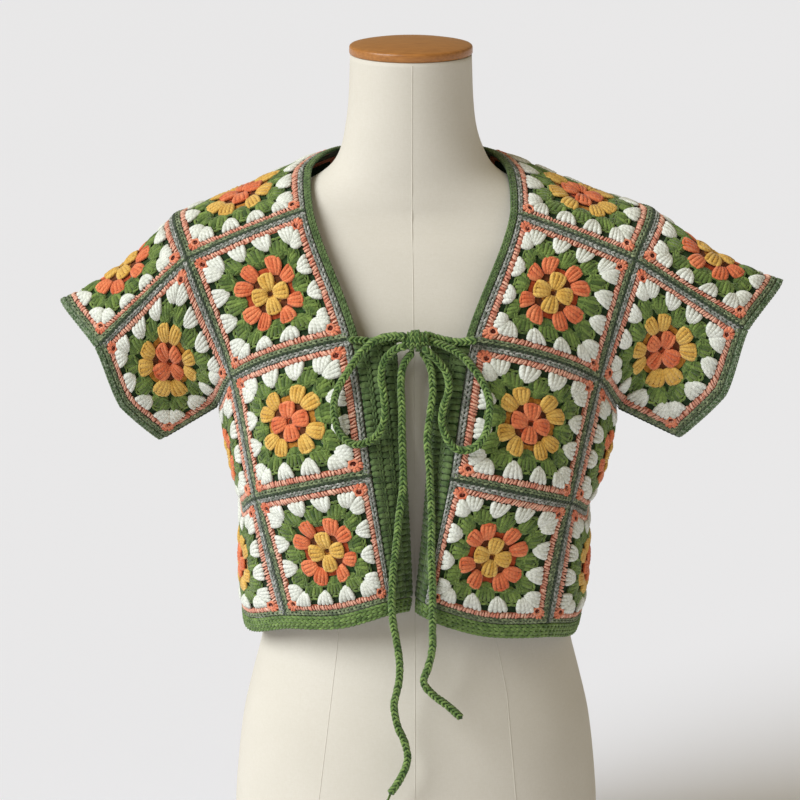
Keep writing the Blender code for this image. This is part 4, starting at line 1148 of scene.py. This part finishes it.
def corded(stitches, route, length, core=CORD_CORE, leg=CORD_LEG, pitch=CORD_PITCH, face=(0, -1, 0)):
    """A crocheted cord along a route in millimetres: a core in darker wool that paints the shade between the
    legs, and pairs of legs on its two faces.
    """
    # painted shade: the core wool is darker than the legs so the gaps between them read dark
    stitches.tube(route, core, WOOL["core"], 8, 1.0, 0.8, up=face)
    tangent = unit(np.gradient(route, axis=0))
    side = unit(np.cross(tangent, np.broadcast_to(np.asarray(face, float), tangent.shape)))
    top = np.cross(side, tangent)
    spots = np.linspace(0.0, length, len(route))

    def at(spot, angle, out):
        rows = [np.array([np.interp(spot, spots, table[:, axis]) for axis in range(3)])
                for table in (route, side, top)]
        return rows[0] + out * (math.sin(angle) * unit(rows[1]) + math.cos(angle) * unit(rows[2]))

    jitter = stitches.random.uniform
    count = int(length / pitch)
    for index in range(count):
        start = index * length / count
        for turn in (0.0, math.pi):
            for way in (-1, 1):
                low = start + (0.0 if index in (0, count - 1) else jitter(-0.7, 0.7))
                sway = turn + jitter(-0.16, 0.16)
                thick = leg * jitter(0.8, 1.12)
                path = [at(low, sway + way * 0.10, core + 0.1),
                        at(min(length, low + pitch * 0.6), sway + way * 0.75, core + jitter(0.1, 0.45)),
                        at(min(length, low + pitch * 1.3), sway + way * 1.45, core - 0.3)]
                outward = unit(at(low + 0.1, sway + way * 0.7, 1.0) - at(low + 0.1, 0.0, 0.0))
                stitches.tube(path, (thick * 0.8, thick, thick * 0.8), WOOL["cord"], 5, 0.85, up=outward)


for name, (far_end, rows) in CORD_ROUTES.items():
    route, length = smooth_route(rows)
    stitches = Stitches(700 + len(rows))
    corded(stitches, route / MM, length / MM)
    extras = []
    if name == "cord_end_first":
        wisp = Stitches(790)
        for index in range(4):
            pick = wisp.random.uniform
            tip = route[-1] / MM
            path = bend(tip + (pick(-1, 1), pick(-1, 1), 1), tip + (-2 + pick(-2, 2), 0, -6),
                        tip + (-4 + pick(-2, 2), pick(-1, 1), -10 + pick(-3, 2)), 4)
            wisp.tube(path, 0.45, WOOL["cord"], 5, 1.0, up=(0, -1, 0))
        extras = [wisp.build("cord_wisp")]
    piece = stitches.build(name + "_yarn")
    hold("wool_green", *extras, piece)
    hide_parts(name)
    path = [tuple(map(float, row)) for row in (route[::-1] if name.startswith("cord_run") else route)]
    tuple(path[0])

# Knot of the bow: a core of cord, and the turns that wrap it
KNOT_CENTRE = np.array((1.5, -117.5, 531.0))
KNOT_LEG = 0.85
KNOT_PITCH = 3.6
KNOT_TURNS = [
    # (across, lean, depth, height, strand radius)
    (-9.2, 0.16, 3.8, 4.6, 2.0),
    (-5.8, 0.10, 5.2, 6.0, 2.0),
    (-2.2, 0.08, 6.4, 7.6, 2.2),
    (2.2, -0.06, 6.5, 7.9, 2.2),
    (6.2, -0.14, 5.2, 6.2, 2.0),
    (9.4, -0.20, 3.8, 4.6, 2.0),
]
knot = Stitches(801)
core = bend((-9.0, 0.0, -0.6), (0.0, -0.5, 0.4), (9.0, 0.0, -0.6), 5) + KNOT_CENTRE
knot.tube(core, (4.6, 5.6, 5.9, 5.6, 4.6), WOOL["cord"], 10, 1.15, 0.3, up=(0, 0, 1))
turn = np.linspace(0.0, 2 * math.pi, 25)
for across, lean, deep, high, radius in KNOT_TURNS:
    ring = np.stack((across + high * lean * np.sin(turn), -deep * np.cos(turn), high * np.sin(turn)), 1)
    ring = ring + KNOT_CENTRE
    length = float(np.linalg.norm(np.diff(ring, axis=0), axis=1).sum())
    corded(knot, ring, length, radius * 0.8, KNOT_LEG, KNOT_PITCH, face=(-1, 0, 0))
piece = knot.build("bow_knot_yarn")
hold("wool_green", piece)
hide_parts("bow_knot")

# Dress form and its cap, finer than the solids
FORM_SECTIONS = np.array([
    # (height, middle, half_width, front_depth, back_depth, roundness)
    (0.000, 0.003, 0.1600, 0.1040, 0.1040, 2.20),
    (0.004, 0.003, 0.1630, 0.1070, 0.1070, 2.20),
    (0.060, 0.003, 0.1650, 0.1110, 0.1120, 2.20),
    (0.100, 0.003, 0.1635, 0.1110, 0.1130, 2.20),
    (0.160, 0.003, 0.1570, 0.1060, 0.1070, 2.20),
    (0.200, 0.003, 0.1480, 0.0990, 0.0980, 2.15),
    (0.235, 0.003, 0.1395, 0.0930, 0.0880, 2.10),
    (0.270, 0.002, 0.1360, 0.0890, 0.0800, 2.10),
    (0.310, 0.001, 0.1370, 0.0910, 0.0780, 2.10),
    (0.360, 0.001, 0.1420, 0.0980, 0.0800, 2.15),
    (0.410, 0.000, 0.1460, 0.1050, 0.0830, 2.20),
    (0.450, 0.000, 0.1490, 0.1070, 0.0870, 2.30),
    (0.490, 0.000, 0.1500, 0.1010, 0.0890, 2.30),
    (0.530, 0.000, 0.1530, 0.0880, 0.0890, 2.30),
    (0.570, 0.000, 0.1620, 0.0740, 0.0830, 2.30),
    (0.599, 0.000, 0.1680, 0.0630, 0.0740, 2.20),
    (0.614, 0.000, 0.1640, 0.0560, 0.0680, 2.00),
    (0.629, -0.001, 0.1460, 0.0510, 0.0640, 1.80),
    (0.6412, -0.001, 0.1170, 0.0500, 0.0610, 1.75),
    (0.6532, -0.001, 0.0900, 0.0490, 0.0590, 1.85),
    (0.665, -0.001, 0.0730, 0.0490, 0.0580, 1.95),
    (0.680, -0.001, 0.0640, 0.0495, 0.0575, 2.00),
    (0.700, -0.002, 0.0585, 0.0500, 0.0570, 2.00),
    (0.725, -0.002, 0.0555, 0.0505, 0.0565, 2.00),
    (0.7652, -0.002, 0.0540, 0.0510, 0.0565, 2.00),
])
FORM_AROUND = 128


def section_at(height):
    heights = FORM_SECTIONS[:, 0]
    index = int(np.clip(np.searchsorted(heights, height) - 1, 0, len(heights) - 2))
    lower, upper = FORM_SECTIONS[index], FORM_SECTIONS[index + 1]
    before, after = FORM_SECTIONS[max(0, index - 1)], FORM_SECTIONS[min(len(heights) - 1, index + 2)]
    span = upper[0] - lower[0]
    slope_lower = (upper - before) / max(upper[0] - before[0], 1e-6) * span
    slope_upper = (after - lower) / max(after[0] - lower[0], 1e-6) * span
    return hermite(lower, slope_lower, upper, slope_upper, (height - lower[0]) / span)[1:]


def loft(name, rings, material):
    """A closed skin through level rings, with a point in the middle of each end."""
    count, around = len(rings), len(rings[0])
    points = np.concatenate(list(rings) + [rings[0].mean(0)[None], rings[-1].mean(0)[None]])
    here, beside = ring_corners(count - 1, around)
    quads = np.stack((here, beside, beside + around, here + around), -1).reshape(-1, 4)
    index = np.arange(around)
    after = (index + 1) % around
    last = (count - 1) * around
    ends = np.concatenate((np.stack((np.full(around, count * around), after, index), -1),
                           np.stack((np.full(around, count * around + 1), last + index, last + after), -1)))
    return plain_piece(name, points, quads, ends, points[:, ::2] * 5, material)


angle = 2 * math.pi * np.arange(FORM_AROUND) / FORM_AROUND
form_rings = []
form_heights = (np.linspace(0.0, 0.004, 3), np.linspace(0.012, 0.60, 60), np.linspace(0.605, 0.7652, 40))
for height in np.concatenate(form_heights):
    middle, half_width, front, back, roundness = section_at(height)
    power = 2 / roundness
    across, along = (np.sign(wave) * abs(wave) ** power for wave in (np.cos(angle), np.sin(angle)))
    depth = np.where(np.sin(angle) > 0, back, front)
    form_rings.append(np.stack((middle + half_width * across, depth * along,
                                np.full(FORM_AROUND, height)), 1))
form = loft("dress_form_cover", form_rings, FORM)
hold("form_cloth", form)
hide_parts("dress_form")

FORM_SEAMS = [
    # places across the form at heights, all on its front
    ((-0.0005, 0.0), (0.0015, 0.12), (0.0015, 0.30), (0.0, 0.56), (-0.001, 0.62), (-0.001, 0.765)),
    ((-0.088, 0.0), (-0.085, 0.10), (-0.068, 0.24), (-0.060, 0.34), (-0.070, 0.45), (-0.090, 0.58)),
    ((0.099, 0.0), (0.096, 0.06), (0.084, 0.20), (0.064, 0.30), (0.070, 0.45), (0.090, 0.58)),
]
seam_stitches = Stitches(901)
for rows in FORM_SEAMS:
    rows = np.array(rows)
    heights = np.linspace(0.003, rows[-1, 1] - 0.002, 60)
    seam = []
    for height in heights:
        across = np.interp(height, rows[:, 1], rows[:, 0])
        middle, half_width, front, back, roundness = section_at(height)
        share = min(abs(across - middle) / half_width, 1.0)
        seam.append((across, -front * (1 - share ** roundness) ** (1 / roundness) + 0.0002, height))
    seam_stitches.tube(np.array(seam) / MM, 0.55, FORM, 5, 1.0, 0.3, up=(0, -1, 0))
hold("form_cloth", seam_stitches.build("form_seams"))

CAP_PROFILE = [
    # (height, radius)
    (0.7655, 0.0536), (0.7661, 0.0545), (0.7668, 0.0548), (0.7714, 0.0548), (0.7726, 0.0544),
    (0.7734, 0.0534), (0.7738, 0.0518), (0.7753, 0.0440), (0.7766, 0.0340), (0.7775, 0.0220),
    (0.7780, 0.0090),
]
cap_rings = [np.stack((-0.002 + radius * np.cos(angle), 0.003 + radius * np.sin(angle),
                       np.full(FORM_AROUND, height)), 1) for height, radius in CAP_PROFILE]
cap = loft("neck_cap_wood", cap_rings, WOOD)
hold("form_wood", cap)
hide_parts("neck_cap")

# Floor and light
FLOOR_REACH = 60.0
paper = Nodes("floor_paper")
paper_colour = paper.mix(paper.noise(0.6, 2.0), linear((238, 240, 250)), linear((240, 242, 252)))
paper.finish(paper_colour, paper.bump(paper.noise(400.0), 0.02, 0.0005), 0.95, 0.0, 0.1)
floor_mesh = bpy.data.meshes.new("floor")
floor_corners = [(x * FLOOR_REACH, y * FLOOR_REACH, 0) for x, y in ((-1, -1), (1, -1), (1, 1), (-1, 1))]
floor_mesh.from_pydata(floor_corners, [], [(0, 1, 2, 3)])
floor_mesh.materials.append(paper.material)
floor = bpy.data.objects.new("floor", floor_mesh)
bpy.context.scene.collection.objects.link(floor)

sun_data = bpy.data.lights.new("key", "SUN")
sun_data.energy = 3.5
sun_data.angle = math.radians(40)
sun_data.color = (0.93, 0.97, 1.0)
sun = bpy.data.objects.new("key", sun_data)
sun.rotation_euler = (math.radians(54), 0.0, math.radians(-60))
bpy.context.scene.collection.objects.link(sun)

world = bpy.data.worlds.new("studio")
bpy.context.scene.world = world
world.use_nodes = True
background = world.node_tree.nodes["Background"]
background.inputs["Color"].default_value = (1.0, 0.85, 0.56, 1.0)
background.inputs["Strength"].default_value = 0.34
